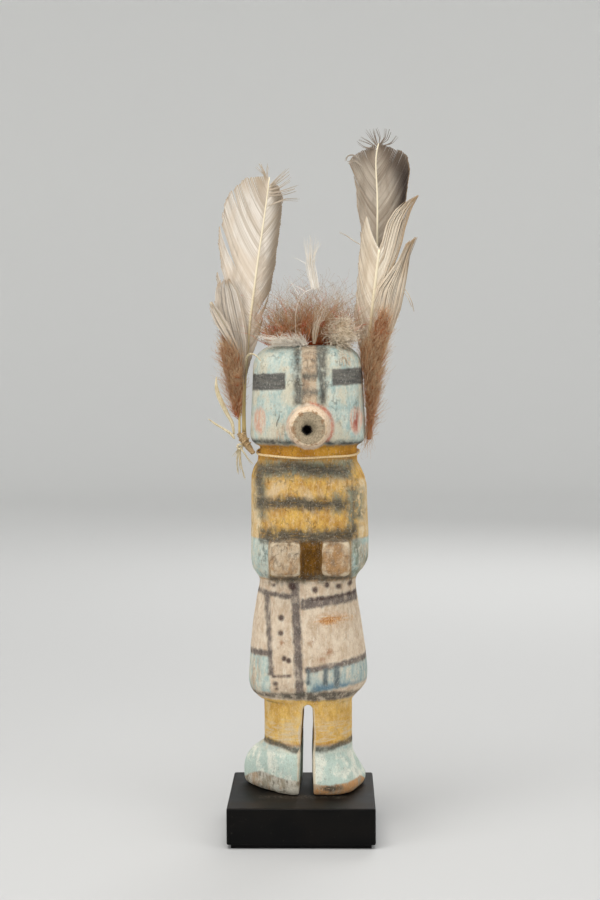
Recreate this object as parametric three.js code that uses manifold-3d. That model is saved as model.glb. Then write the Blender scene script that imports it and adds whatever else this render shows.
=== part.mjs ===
// A kachina doll: one carved and painted length of cottonwood root on a black block, with a short
// tube snout, a string round the neck, tied feathers and down at the sides, and fur on the crown.
// Millimetres, +Z up, the face looks along -Y, the origin is in the middle of the block's underside.

import * as THREE from "three";
import Module from "manifold-3d";
import { mergeVertices } from "three/addons/utils/BufferGeometryUtils.js";

const wasm = await Module();
wasm.setup();

// ------------------------------------------------------------------ driving dimensions

const GAP = 0.3; // clearance between pieces that touch

const BASE = { side: 65, height: 18, bevel: 0.8, foot_inset: 1.8, foot_height: 1.8 };

const DOLL_X = 3; // the doll stands a little right of the block's middle
const DOLL_Y = 7.5; // and a little behind it

// Heights above the block, up the doll
const ANKLE = 21;
const KILT_UNDERSIDE = 41.4;
const HEM = 48.7;
const WAIST = 94;
const ELBOW = 103.5;
const SHOULDER = 142;
const NECK = 150.5;
const CHIN = 155.8;
const CROWN = 200.6;

const HEAD = { jaw: 26.2, brow: 24.2, depth: 20, crown_corner: 9.5, chin_corner: 5, square: 2.8 };
const SNOUT = { x: 0.9, z: 164.6, root: 9.1, disc: 7, length: 7 };
const PITH = { x: -0.9, z: -0.8, radius: 1.9, depth: 4.5 }; // the hole, off the snout's middle
const STRING = { z: 152.6, tilt: 1.6, radius: 0.5 };
const FISTS = [
  { x: -9.9, width: 15, z: 106.5 },
  { x: 12.4, width: 13.6, z: 106.8 },
];
const FIST = { height: 16.6, front: 24.6, depth: 10, square: 5 };
const TOE_LEFT = { height: 7, ankle: ANKLE, fullness: 2.3 };
const TOE_RIGHT = { height: 5, ankle: 16, fullness: 1 };

const AROUND = 32; // facets round the carved wood

// ------------------------------------------------------------------ solids

function toSolid(geometry) {
  const bare = geometry.clone();
  bare.deleteAttribute("normal");
  bare.deleteAttribute("uv");
  const merged = mergeVertices(bare, 1e-4);
  const vertProperties = new Float32Array(merged.attributes.position.array);
  const triVerts = new Uint32Array(merged.index.array);
  return new wasm.Manifold(new wasm.Mesh({ numProp: 3, vertProperties, triVerts }));
}

function toGeometry(solid) {
  const mesh = solid.getMesh();
  const geometry = new THREE.BufferGeometry();
  geometry.setAttribute("position", new THREE.BufferAttribute(mesh.vertProperties, 3));
  geometry.setIndex(new THREE.BufferAttribute(mesh.triVerts, 1));
  geometry.computeVertexNormals();
  return geometry;
}

function join(geometries) {
  return toGeometry(geometries.map(toSolid).reduce((whole, piece) => whole.add(piece)));
}

function cut(geometry, tools) {
  return toGeometry(tools.map(toSolid).reduce((whole, tool) => whole.subtract(tool), toSolid(geometry)));
}

// Moves every vertex of a geometry to where place(point) sends it
function reshape(geometry, place) {
  const position = geometry.attributes.position;
  const point = new THREE.Vector3();
  for (let i = 0; i < position.count; i += 1) {
    point.fromBufferAttribute(position, i);
    place(point);
    position.setXYZ(i, point.x, point.y, point.z);
  }
  geometry.computeVertexNormals();
  return geometry;
}

// An upright closed skin through the given heights. reach(angle, z) is how far it lies from its
// axis, and axis(z) gives the axis' own x and y.
function loft(heights, around, reach, axis = () => [0, 0]) {
  const rows = heights.length - 1;
  const geometry = new THREE.CylinderGeometry(1, 1, 1, around, rows);
  return reshape(geometry, (point) => {
    const z = heights[Math.round((point.y + 0.5) * rows)];
    const angle = Math.atan2(-point.z, point.x);
    const spread = Math.hypot(point.x, point.z) * reach(angle, z);
    const [x, y] = axis(z);
    point.set(x + spread * Math.cos(angle), y + spread * Math.sin(angle), z);
  });
}

const isLeft = (angle) => Math.cos(angle) < -1e-6;

function superellipse(angle, halfWidth, halfDepth, square) {
  const across = (Math.abs(Math.cos(angle)) / halfWidth) ** square;
  const along = (Math.abs(Math.sin(angle)) / halfDepth) ** square;
  return (across + along) ** (-1 / square);
}

// Straight-line reading of a table whose rows start with their height
function at(rows, z) {
  const above = rows.findIndex((row) => row[0] >= z);
  if (above === 0) return rows[0];
  if (above === -1) return rows[rows.length - 1];
  const [low, high] = [rows[above - 1], rows[above]];
  const share = (z - low[0]) / (high[0] - low[0]);
  return low.map((value, column) => THREE.MathUtils.lerp(value, high[column], share));
}

// A rounded-square block, as a whittled lump is
function lump(width, depth, height, square) {
  const geometry = new THREE.BoxGeometry(2, 2, 2, 4, 4, 4);
  return reshape(geometry, (point) => {
    const size = [point.x, point.y, point.z].reduce((sum, side) => sum + Math.abs(side) ** square, 0);
    point.multiplyScalar(size ** (-1 / square));
    point.set((point.x * width) / 2, (point.y * depth) / 2, (point.z * height) / 2);
  });
}

// A round cord, twig or quill through hand-placed points, with radius(share) along its length
function strand(points, radius, steps, sides = 6) {
  const path = new THREE.CatmullRomCurve3(points.map((point) => new THREE.Vector3(...point)));
  const frames = path.computeFrenetFrames(steps, false);
  const geometry = new THREE.CylinderGeometry(1, 1, 1, sides, steps);
  return reshape(geometry, (point) => {
    const row = Math.round((point.y + 0.5) * steps);
    const size = radius(row / steps);
    const over = frames.binormals[row].clone().multiplyScalar(point.x * size);
    const across = frames.normals[row].clone().multiplyScalar(point.z * size);
    point.copy(path.getPointAt(row / steps)).add(over).add(across);
  });
}

const taper = (start, end) => (share) => THREE.MathUtils.lerp(start, end, share);

// A thin upright blade whose table gives height, left edge, right edge and how far back it stands
function blade(rows, thickness, across = 4) {
  const geometry = new THREE.BoxGeometry(1, 1, 1, across, 1, rows.length - 1);
  const hollow = 0.006;
  return reshape(geometry, (point) => {
    const row = Math.round((point.z + 0.5) * (rows.length - 1));
    const [z, left, right, back] = rows[row];
    const x = THREE.MathUtils.lerp(left, right, point.x + 0.5);
    const bow = hollow * (x - left) * (right - x);
    point.set(x, back + bow + point.y * thickness, z);
  });
}

// ------------------------------------------------------------------ the block

function baseBlock() {
  const { side, height, bevel, foot_inset: inset, foot_height: rise } = BASE;
  const half = side / 2 - bevel;
  const square = new THREE.Shape();
  square.moveTo(-half, -half);
  square.lineTo(half, -half);
  square.lineTo(half, half);
  square.lineTo(-half, half);
  const block = new THREE.ExtrudeGeometry(square, {
    depth: height - rise - 2 * bevel,
    bevelThickness: bevel,
    bevelSize: bevel,
    bevelSegments: 2,
  });
  block.translate(0, 0, rise + bevel);
  const footSide = side - 2 * (inset + bevel);
  const foot = new THREE.BoxGeometry(footSide, footSide, rise + 2);
  foot.translate(0, 0, (rise + 2) / 2);
  return join([block, foot]);
}

// ------------------------------------------------------------------ the carved figure

// How far the wood reaches from the doll's axis: height, left, right, front, back
const BODY = [
  [KILT_UNDERSIDE, 22.4, 20.2, 16.8, 15.8],
  [HEM - 4.6, 25.4, 22.6, 18.0, 17.2],
  [HEM - 2.6, 26.6, 24.8, 19.0, 18.5],
  [HEM, 27.3, 26.5, 19.9, 19.6],
  [HEM + 4.6, 27.2, 26.9, 20.0, 19.7],
  [62.5, 26.6, 26.0, 19.6, 19.4],
  [76, 25.3, 24.0, 18.6, 18.4],
  [WAIST - 4.5, 23.0, 21.7, 17.1, 17.1],
  [WAIST, 22.0, 21.2, 16.7, 16.7],
  [WAIST + 2, 22.2, 21.7, 16.9, 17.0],
  [ELBOW - 5.5, 23.6, 22.8, 17.9, 17.8],
  [ELBOW - 2.6, 25.4, 25.4, 19.5, 19.0],
  [ELBOW + 1, 26.0, 27.2, 20.4, 19.8],
  [112, 25.9, 27.4, 20.5, 19.9],
  [SHOULDER - 4.5, 25.8, 26.5, 20.2, 19.6],
  [SHOULDER, 25.6, 25.5, 19.9, 19.3],
  [SHOULDER + 2.6, 24.9, 24.3, 19.3, 18.7],
  [SHOULDER + 4.5, 24.0, 23.4, 18.6, 18.1],
  [NECK - 2, 22.6, 22.1, 17.8, 17.4],
  [NECK + 1.5, 22.3, 22.3, 17.6, 17.3],
  [CHIN + 2, 20.6, 21.6, 16.6, 16.6],
];
const BODY_SQUARE = 2.5;

function bodyReach(angle, z) {
  const [, left, right, front, back] = at(BODY, z);
  const halfWidth = isLeft(angle) ? left : right;
  const halfDepth = Math.sin(angle) < 0 ? front : back;
  return superellipse(angle, halfWidth, halfDepth, BODY_SQUARE);
}

// Where the front of the body lies at x, for what is cut into it or stands on it
function bodyFront(x, z) {
  const [, left, right, front] = at(BODY, z);
  const share = Math.abs(x) / (x < 0 ? left : right);
  return -front * (1 - share ** BODY_SQUARE) ** (1 / BODY_SQUARE);
}

// The mask-like head: flat walls that close in a little upwards, with rounded upper and lower edges
function headHeights() {
  const steps = 5;
  const heights = [];
  for (let step = 0; step <= steps; step += 1) {
    heights.push(CHIN + HEAD.chin_corner * (1 - Math.cos((step / steps) * (Math.PI / 2))));
  }
  heights.push(168, 176, 184);
  for (let step = 0; step <= steps; step += 1) {
    heights.push(CROWN - HEAD.crown_corner * (1 - Math.sin((step / steps) * (Math.PI / 2))));
  }
  return heights;
}

function cornerInset(z) {
  const low = HEAD.chin_corner - Math.max(0, Math.min(z - CHIN, HEAD.chin_corner));
  const high = HEAD.crown_corner - Math.max(0, Math.min(CROWN - z, HEAD.crown_corner));
  const chinCut = HEAD.chin_corner - Math.sqrt(HEAD.chin_corner ** 2 - low ** 2);
  const crownCut = HEAD.crown_corner - Math.sqrt(HEAD.crown_corner ** 2 - high ** 2);
  return chinCut + crownCut;
}

function headSkin(grow = 0) {
  const reach = (angle, z) => {
    const share = (z - CHIN) / (CROWN - CHIN);
    const halfWidth = THREE.MathUtils.lerp(HEAD.jaw, HEAD.brow, share) - cornerInset(z) + grow;
    return superellipse(angle, halfWidth, HEAD.depth - cornerInset(z) + grow, HEAD.square);
  };
  return loft(headHeights(), AROUND, reach);
}

// The two feet in plan, as the knife left them: straight cuts across the toes, splayed to the left
const FEET_OUTLINE = [
  [-1.2, -19.6],
  [-7.3, -20.6],
  [-13.6, -16.8],
  [-22.3, -7.7],
  [-28.8, 1.9],
  [-30.7, 7.5],
  [-28.5, 13.5],
  [-20, 18.4],
  [-6, 19.6],
  [8, 19.6],
  [19, 18],
  [25, 12.5],
  [26.2, 6],
  [25.1, 0],
  [21.3, -12],
  [17.6, -17.5],
  [12.8, -19.8],
  [4.5, -19.8],
];

// Distance from the axis to a plan outline in one direction
function outlineReach(outline, angle) {
  const along = new THREE.Vector2(Math.cos(angle), Math.sin(angle));
  for (let i = 0; i < outline.length; i += 1) {
    const start = new THREE.Vector2(...outline[i]);
    const side = new THREE.Vector2(...outline[(i + 1) % outline.length]).sub(start);
    const turn = along.cross(side);
    const distance = start.cross(side) / turn;
    const share = start.cross(along) / turn;
    if (distance > 0 && share >= -1e-9 && share <= 1 + 1e-9) return distance;
  }
  return 0;
}

function legReach(angle, z) {
  const spread = 0.7 * Math.max(0, (ANKLE + 4 - z) / ANKLE);
  return superellipse(angle, (isLeft(angle) ? 20.3 : 19.7) + spread, 16.5 + spread, 2.3);
}

function feetReach(angle, z) {
  const toe = isLeft(angle) ? TOE_LEFT : TOE_RIGHT;
  const soleBevel = 1.6 * Math.max(0, 1 - z / 3) ** 2;
  const rise = THREE.MathUtils.clamp((z - toe.height) / (toe.ankle - toe.height), 0, 1);
  const foot = outlineReach(FEET_OUTLINE, angle) - soleBevel;
  return THREE.MathUtils.lerp(foot, legReach(angle, z), rise ** toe.fullness);
}

// The gap between the legs: an arched slot right through, narrower at the back
function legSlot() {
  const arch = { x: -0.2, z: 37.6, radius: 2.6 };
  const slot = new THREE.Shape();
  slot.moveTo(-4.9, -2);
  slot.lineTo(2.6, -2);
  slot.lineTo(2.2, 14);
  slot.lineTo(3.0, 26);
  slot.absarc(arch.x, arch.z, arch.radius, 0, Math.PI, false);
  slot.lineTo(-3.8, 26);
  slot.lineTo(-4.2, 14);
  const depth = 60;
  const geometry = new THREE.ExtrudeGeometry(slot, { depth, bevelEnabled: false, curveSegments: 6 });
  geometry.rotateX(Math.PI / 2);
  geometry.translate(0, depth / 2, 0);
  const middle = -0.6;
  return reshape(geometry, (point) => {
    const narrowing = 1 - 0.25 * THREE.MathUtils.clamp((point.y + 20) / 20, 0, 2);
    point.x = middle + (point.x - middle) * narrowing;
  });
}

function fists() {
  return FISTS.map((fist) => {
    const block = lump(fist.width, FIST.depth, FIST.height, FIST.square);
    block.translate(fist.x, -FIST.front + FIST.depth / 2, fist.z);
    return block;
  });
}

// The hollow between the fists: its floor runs in from the chest to the waist
function handHollow() {
  const side = new THREE.Shape();
  side.moveTo(30, 96);
  side.lineTo(16.4, 96);
  side.lineTo(16.6, 100);
  side.lineTo(20.3, 115.5);
  side.lineTo(30, 118);
  const width = 11;
  const geometry = new THREE.ExtrudeGeometry(side, { depth: width, bevelEnabled: false });
  // the profile's x runs to the front, its y runs up
  return reshape(geometry, (point) => point.set(width / 2 + 1.5 - point.z, -point.x, point.y));
}

// The shallow upright grooves that part the arms from the chest and the back
function armGrooves() {
  const top = SHOULDER + 1;
  const bottom = 115.5;
  const grooves = [];
  for (const x of [-19.4, 20.6]) {
    for (const side of [1, -1]) {
      const groove = new THREE.CylinderGeometry(1.1, 1.1, top - bottom, 6);
      groove.rotateX(Math.PI / 2);
      groove.translate(x, side * (bodyFront(x, 128) - 0.25), (top + bottom) / 2);
      grooves.push(groove);
    }
  }
  return grooves;
}

function figure() {
  const legHeights = [0, 1.5, 3, 5, 7, 9, 11.5, 14, 17, ANKLE, ANKLE + 4, KILT_UNDERSIDE + 3];
  const solids = [
    headSkin(),
    loft(BODY.map((row) => row[0]), AROUND, bodyReach),
    loft(legHeights, AROUND + 4, feetReach),
  ];
  const carved = cut(join(solids), [legSlot(), handHollow(), ...armGrooves()]);
  return join([carved, ...fists()]);
}

// ------------------------------------------------------------------ snout and neck string

// A short tube of twig, its rim whittled to a cone, with the pith bored out; it sits on the face
function snout() {
  const { root, disc, length } = SNOUT;
  const buried = 3;
  const profile = [
    [0, -buried],
    [root, -buried],
    [root, 1.8],
    [root - 0.3, 3.4],
    [root - 0.8, 4.8],
    [root - 1.5, 6],
    [disc + 0.2, length - 0.3],
    [disc - 0.3, length],
    [0, length],
  ];
  const stick = new THREE.LatheGeometry(profile.map(([r, out]) => new THREE.Vector2(r, out)), 18);
  const pith = new THREE.CylinderGeometry(PITH.radius, PITH.radius * 0.8, 2 * PITH.depth, 12);
  pith.translate(PITH.x, length, -PITH.z);
  for (const piece of [stick, pith]) {
    piece.rotateX(Math.PI);
    piece.translate(SNOUT.x, -HEAD.depth, SNOUT.z);
  }
  return cut(stick, [pith, headSkin(GAP)]);
}

// One turn of cotton string, lying in the neck and a little lower in front
function neckString() {
  const ring = new THREE.TorusGeometry(20, STRING.radius, 4, AROUND);
  return reshape(ring, (point) => {
    const angle = Math.atan2(point.y, point.x);
    const z = STRING.z + STRING.tilt * Math.sin(angle);
    const offset = Math.hypot(point.x, point.y) - 20;
    const spread = bodyReach(angle, z) + GAP + STRING.radius + offset;
    point.set(spread * Math.cos(angle), spread * Math.sin(angle), z + point.z);
  });
}

// ------------------------------------------------------------------ feathers

const VANE = 0.7; // thickness of a feather's vane

// Height, left edge, right edge, and how far back the vane stands
const LEFT_MAIN_VANE = [
  [188, -29.9, -27.3, 2.6],
  [198, -34.0, -24.6, 2.8],
  [206, -37.3, -21.9, 3.0],
  [214, -39.8, -20.2, 3.0],
  [222, -41.6, -17.8, 3.1],
  [230, -41.0, -16.0, 3.2],
  [238, -39.6, -14.6, 3.2],
  [246, -40.4, -13.6, 3.3],
  [254, -39.4, -12.6, 3.4],
  [262, -37.6, -11.5, 3.5],
  [267, -35.8, -10.5, 3.6],
  [270.5, -33.4, -12.2, 3.6],
  [273.5, -30.0, -15.6, 3.6],
  [276.3, -25.8, -21.2, 3.6],
];
const LEFT_MAIN_SHAFT = [
  [-28.6, -3.8, 161.2],
  [-28.9, -1.5, 168],
  [-28.9, 1, 176],
  [-28.2, 2.6, 190],
  [-26.2, 3, 210],
  [-22.5, 3.2, 238],
  [-19.1, 3.4, 260],
  [-17.3, 3.6, 274],
];
// Splits where barbs have come apart: outer end, inner end, how wide the split opens
const LEFT_MAIN_SPLITS = [
  [-39.5, 229.5, -31.5, 214.5, 1.5],
  [-41.4, 248.5, -34.4, 240.5, 1.4],
  [-38.0, 264.5, -32.8, 255.5, 0.9],
  [-15.0, 233, -20.6, 222.5, 1.0],
];

const LEFT_SMALL_VANE = [
  [190, -30.3, -29.0, -1.4],
  [193.2, -30.6, -29.1, -1.3],
  [196.5, -32.4, -30.1, -1.2],
  [203, -36.4, -32.2, -1],
  [210, -41.0, -35.2, -1],
  [216.5, -43.6, -39.4, -1.2],
  [220.6, -44.6, -43.0, -1.4],
];
const LEFT_SMALL_SHAFT = [
  [-30.6, -5.8, 161.2],
  [-30.7, -4.4, 170],
  [-30.2, -2.2, 182],
  [-29.7, -1.4, 191],
  [-33.4, -1, 203],
  [-39.0, -1, 213],
];

const RIGHT_BACK_VANE = [
  [196, 27.6, 29.8, 6.2],
  [206, 26.4, 32.2, 6.2],
  [218, 25.4, 35.2, 6.2],
  [230, 24.6, 38.0, 6.2],
  [242, 24.3, 40.4, 6.2],
  [254, 24.3, 42.6, 6.2],
  [262, 22.6, 43.8, 6.1],
  [270, 22.2, 44.9, 6.0],
  [278, 21.3, 46.0, 5.8],
  [283.5, 18.6, 46.0, 5.6],
  [286.2, 20.9, 44.6, 5.5],
  [288.5, 28.4, 41.4, 5.4],
];
const RIGHT_BACK_SHAFT = [
  [27.6, 5.6, 172],
  [27.8, 5.8, 185],
  [29.4, 6, 203],
  [31.3, 6.1, 225],
  [31.5, 6.1, 250],
  [31.6, 6, 268],
  [30.4, 5.6, 286],
  [32.0, 5.4, 291],
];

// The front feather has come apart above its broken shaft: a lobe to the left and two to the right
const RIGHT_FRONT_LEFT_LOBE = [
  [190, 25.6, 27.2, 1.6],
  [198, 24.1, 27.4, 1.6],
  [205, 22.3, 28.0, 1.6],
  [212, 21.1, 28.8, 1.5],
  [218, 21.7, 29.6, 1.4],
  [226, 22.5, 30.6, 1.4],
  [234, 23.0, 31.6, 1.4],
  [240, 23.4, 32.4, 1.4],
  [244, 23.6, 31.0, 1.4],
  [248, 23.8, 28.2, 1.3],
  [253, 24.6, 26.6, 1.2],
  [258.5, 26.5, 27.0, 1.1],
];
const RIGHT_FRONT_LOWER_LOBE = [
  [190, 26.6, 32.2, 1.6],
  [198, 26.7, 35.0, 1.6],
  [205, 27.4, 37.3, 1.5],
  [211, 28.0, 40.0, 1.4],
  [216, 28.6, 41.9, 1.4],
  [225, 29.8, 43.6, 1.2],
  [228, 33.4, 44.0, 1.0],
  [232, 36.8, 44.4, 0.8],
  [238, 40.4, 44.6, 0.6],
  [241.5, 42.4, 45.3, 0.5],
  [245, 43.6, 47.6, 0.4],
  [248.6, 47.6, 48.6, 0.4],
];
const RIGHT_FRONT_UPPER_LOBE = [
  [222, 29.4, 33.4, 1.6],
  [229, 30.4, 35.4, 1.8],
  [234, 31.2, 37.6, 2.0],
  [240, 32.2, 40.8, 2.2],
  [243.5, 32.9, 41.9, 2.3],
  [248, 34.0, 43.0, 2.5],
  [255, 35.7, 44.5, 2.6],
  [260, 39.0, 46.4, 2.7],
  [264, 43.5, 48.2, 2.8],
  [267.6, 48.9, 50.0, 2.8],
];
const RIGHT_FRONT_SHAFT = [
  [27.2, 2.6, 170],
  [27.2, 2.2, 185],
  [27.3, 1.8, 199],
  [28.9, 1.4, 216],
  [30.6, 1.3, 230],
  [32.2, 1.3, 243.4],
];

function split([outX, outZ, inX, inZ, width]) {
  const along = new THREE.Vector2(inX - outX, inZ - outZ);
  const side = new THREE.Vector2(-along.y, along.x).setLength(width / 2);
  const wedge = new THREE.Shape();
  wedge.moveTo(outX - side.x - along.x * 0.3, outZ - side.y - along.y * 0.3);
  wedge.lineTo(inX, inZ);
  wedge.lineTo(outX + side.x - along.x * 0.3, outZ + side.y - along.y * 0.3);
  const depth = 8;
  const geometry = new THREE.ExtrudeGeometry(wedge, { depth, bevelEnabled: false });
  geometry.rotateX(Math.PI / 2);
  geometry.translate(0, depth / 2 + 3, 0);
  return geometry;
}

function leftMainFeather() {
  const shaft = strand(LEFT_MAIN_SHAFT, taper(1.15, 0.45), 10);
  return join([cut(blade(LEFT_MAIN_VANE, VANE), LEFT_MAIN_SPLITS.map(split)), shaft]);
}

function leftSmallFeather() {
  return join([blade(LEFT_SMALL_VANE, VANE, 2), strand(LEFT_SMALL_SHAFT, taper(0.65, 0.4), 8, 5)]);
}

function rightBackFeather() {
  return join([blade(RIGHT_BACK_VANE, VANE), strand(RIGHT_BACK_SHAFT, taper(1.05, 0.45), 10, 5)]);
}

function rightFrontFeather() {
  const lobes = [RIGHT_FRONT_LEFT_LOBE, RIGHT_FRONT_LOWER_LOBE, RIGHT_FRONT_UPPER_LOBE];
  const vanes = lobes.map((lobe) => blade(lobe, VANE, 2));
  return join([...vanes, strand(RIGHT_FRONT_SHAFT, taper(1.05, 0.7), 8, 5)]);
}

// ------------------------------------------------------------------ down at the sides

// Height, left side, right side, middle in depth, half depth
const DOWN_LEFT = [
  [165, -32.6, -30.4, 6.6, 0.9],
  [170, -33.8, -28.6, 7.0, 1.9],
  [175, -34.4, -27.9, 7.4, 2.3],
  [180, -35.4, -27.6, 7.6, 2.5],
  [186, -36.4, -27.4, 7.9, 2.8],
  [193, -38.5, -27.2, 8.2, 3.2],
  [200, -40.0, -27.6, 8.4, 3.2],
  [206, -40.2, -29.2, 8.2, 2.8],
  [211, -39.4, -32.0, 7.8, 1.9],
  [215, -38.0, -35.0, 7.4, 0.8],
];
const DOWN_RIGHT = [
  [157, 26.9, 28.0, -4.0, 0.6],
  [162, 26.7, 28.8, -4.0, 1.2],
  [167, 26.5, 30.3, -4.0, 2.0],
  [171, 26.4, 31.2, -4.0, 2.8],
  [178, 26.4, 31.5, -4.0, 3.2],
  [185, 26.4, 32.5, -4.0, 3.5],
  [191, 26.5, 33.2, -4.0, 3.8],
  [198, 26.4, 35.0, -4.0, 3.9],
  [204, 26.8, 37.2, -3.8, 3.6],
  [210, 28.8, 37.6, -3.4, 2.6],
  [215, 31.4, 36.4, -3.0, 1.2],
];

// A lock of down: an oval body, ribbed lengthways where its barbs cling together
function downLock(rows) {
  const ribs = 5;
  const reach = (angle, z) => {
    const [, left, right, , halfDepth] = at(rows, z);
    const rib = 1 - 0.08 * (1 + Math.cos(ribs * angle + z * 0.12));
    return superellipse(angle, (right - left) / 2, halfDepth, 2) * rib;
  };
  const axis = (z) => {
    const [, left, right, middle] = at(rows, z);
    return [(left + right) / 2, middle];
  };
  return loft(rows.map((row) => row[0]), 16, reach, axis);
}

// ------------------------------------------------------------------ binding and loose fibres

const BINDING_PATH = [
  [-29.6, -5, 160.6],
  [-28.6, -5.4, 158],
  [-26.9, -6.4, 155.6],
  [-24.4, -8.2, 152.6],
];

// The quills' lower ends, wrapped in cord: turns swell the outside, and it runs out to a point
function binding() {
  const turns = 6;
  const radius = (share) => {
    const wrap = 0.22 * Math.cos(share * turns * 2 * Math.PI);
    return THREE.MathUtils.lerp(2.75, 1.15, share ** 1.3) + wrap * (1 - share);
  };
  return strand(BINDING_PATH, radius, 18, 8);
}

const LONG_STRIP = [
  [160.8, -33.6, -32.7, -5.4],
  [166, -34.6, -33.0, -5.6],
  [170, -37.2, -35.2, -5.8],
  [175, -39.7, -37.4, -6],
  [179.5, -41.4, -39.4, -6],
  [183, -41.7, -40.4, -6],
  [186.6, -41.0, -40.5, -6],
];
const SHORT_STRIP = [
  [158.8, -33.3, -32.6, -6.6],
  [160.8, -35.0, -33.0, -6.8],
  [163, -38.0, -36.2, -7],
  [165.4, -42.0, -40.3, -7.2],
  [167.9, -44.7, -44.2, -7.4],
];
const STRING_KNOT = [-30.4, -6.4, 155.2];
const STRING_ENDS = [
  [STRING_KNOT, [-31.4, -6.8, 151], [-31.7, -7, 146.5], [-31.2, -7.2, 143.4]],
  [STRING_KNOT, [-30.2, -7.4, 150], [-29.4, -7.8, 145.5], [-28.5, -8, 141.4]],
  [STRING_KNOT, [-28.4, -9, 152.4], [-26.4, -10, 149.8], [-24.4, -11, 147.4]],
  [STRING_KNOT, [-31.6, -6.2, 153.5], [-32.7, -6, 150.6]],
];
const LOOP = [
  [-28.1, 0.6, 190.2],
  [-27.9, -4, 194.2],
  [-26.8, -9, 196.8],
  [-24.6, -13.4, 197.2],
  [-22.4, -16, 196.2],
  [-20.7, -16.6, 194.2],
];

function stringEnds() {
  const knot = lump(1.9, 1.9, 1.9, 2);
  knot.translate(...STRING_KNOT);
  return join([knot, ...STRING_ENDS.map((points) => strand(points, taper(0.42, 0.28), 4, 4))]);
}

// ------------------------------------------------------------------ fur and down on the crown

const FUR = { left: -21.4, right: 21.2, depth: 13, foot: CROWN + GAP, top: 222, locks: 15 };

// Height above the crown, and the share of the full spread
const FUR_SPREAD = [
  [0, 0.76],
  [3, 0.93],
  [8, 1],
  [13, 0.95],
  [17, 0.8],
  [20, 0.55],
  [FUR.top - FUR.foot, 0.35],
];

function furBody() {
  const halfWidth = (FUR.right - FUR.left) / 2;
  const tufts = 9;
  const reach = (angle, z) => {
    const [, share] = at(FUR_SPREAD, z - FUR.foot);
    const tuft = 1 - 0.05 * (1 + Math.cos(tufts * angle));
    return superellipse(angle, halfWidth, FUR.depth, 2) * share * tuft;
  };
  const heights = FUR_SPREAD.map(([rise]) => FUR.foot + rise);
  return loft(heights, 27, reach, () => [(FUR.left + FUR.right) / 2, 0]);
}

// Pointed locks that stand out of the fur's body in a fan, from the left over to the right
function furLocks() {
  const locks = [];
  for (let i = 0; i < FUR.locks; i += 1) {
    const turn = Math.PI * (0.93 - (0.86 * i) / (FUR.locks - 1));
    const side = 6.5 * Math.sin(i * 2.4);
    const length = 1 + 0.09 * Math.sin(i * 1.9);
    const tip = new THREE.Vector3(22 * Math.cos(turn) * length, side, 2 + 26 * Math.sin(turn) * length);
    const root = tip.clone().multiply(new THREE.Vector3(0.55, 0.7, 0.55));
    const middle = root.clone().lerp(tip, 0.5);
    middle.z += 0.8;
    const points = [root, middle, tip].map((point) => [point.x, point.y, FUR.foot + point.z]);
    locks.push(strand(points, taper(3.6, 0.3), 2, 5));
  }
  return locks;
}

const PLUME_VANE = [
  [225.2, 4.0, 6.2, -9],
  [228, 2.2, 5.6, -9],
  [232, 0.8, 4.5, -9],
  [236.4, -0.2, 3.2, -9],
  [240.8, -0.5, 3.1, -9],
  [245.5, 0.4, 3.2, -9],
  [249, 0.8, 1.8, -9],
];
const PLUME_SHAFT = [
  [3.4, -9, 234],
  [4.8, -9, 226.6],
  [2.6, -9.4, 225.4],
  [0, -10, 226],
  [-3.4, -11, 222.4],
  [-5.6, -12, 216],
  [-5.8, -12.6, 209],
  [-5.3, -12.2, 206],
];

function plume(grow = 0) {
  const vane = PLUME_VANE.map(([z, left, right, back]) => [z, left - grow, right + grow, back]);
  return join([blade(vane, VANE + 2 * grow, 2), strand(PLUME_SHAFT, () => 0.36 + grow, 14, 4)]);
}

const CROWN_DOWN = {
  crown_down_left: { middle: [-5.2, -11.4, 203.0], size: [12, 5, 4.2] },
  crown_down_right: { middle: [15.2, -8.6, 206.0], size: [10, 8, 10.4] },
};

function crownDown({ middle, size }, grow = 0) {
  const tuft = lump(...size.map((side) => side + 2 * grow), 2.2);
  tuft.translate(...middle);
  return cut(tuft, [headSkin(GAP)]);
}

const WISP = [
  [3.0, -13, 201.4],
  [3.6, -13.2, 206],
  [4.6, -13.4, 212],
  [6.6, -13, 218.4],
];

function wisp(grow = 0) {
  return strand(WISP, (share) => THREE.MathUtils.lerp(1.5, 0.6, share) + grow, 8);
}

function crownFur() {
  const held = [plume(GAP), wisp(GAP), ...Object.values(CROWN_DOWN).map((tuft) => crownDown(tuft, GAP))];
  return cut(join([furBody(), ...furLocks()]), held);
}

// ------------------------------------------------------------------ the part

const PAINTED_WOOD = { color: 0xc8b48f, roughness: 0.92, metalness: 0 };
const LACQUER = { color: 0x141413, roughness: 0.4, metalness: 0 };
const TWIG = { color: 0xc4b093, roughness: 0.9, metalness: 0 };
const COTTON = { color: 0xd9cdb8, roughness: 0.95, metalness: 0 };
const WHITE_FEATHER = { color: 0xddd3c2, roughness: 0.75, metalness: 0 };
const GREY_FEATHER = { color: 0x8f8273, roughness: 0.75, metalness: 0 };
const RUST_DOWN = { color: 0x93603f, roughness: 1, metalness: 0 };
const FIBRE = { color: 0xcfc2a4, roughness: 0.85, metalness: 0 };

function mesh(name, geometry, finish) {
  const piece = new THREE.Mesh(geometry, new THREE.MeshStandardMaterial(finish));
  piece.name = name;
  return piece;
}

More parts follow.
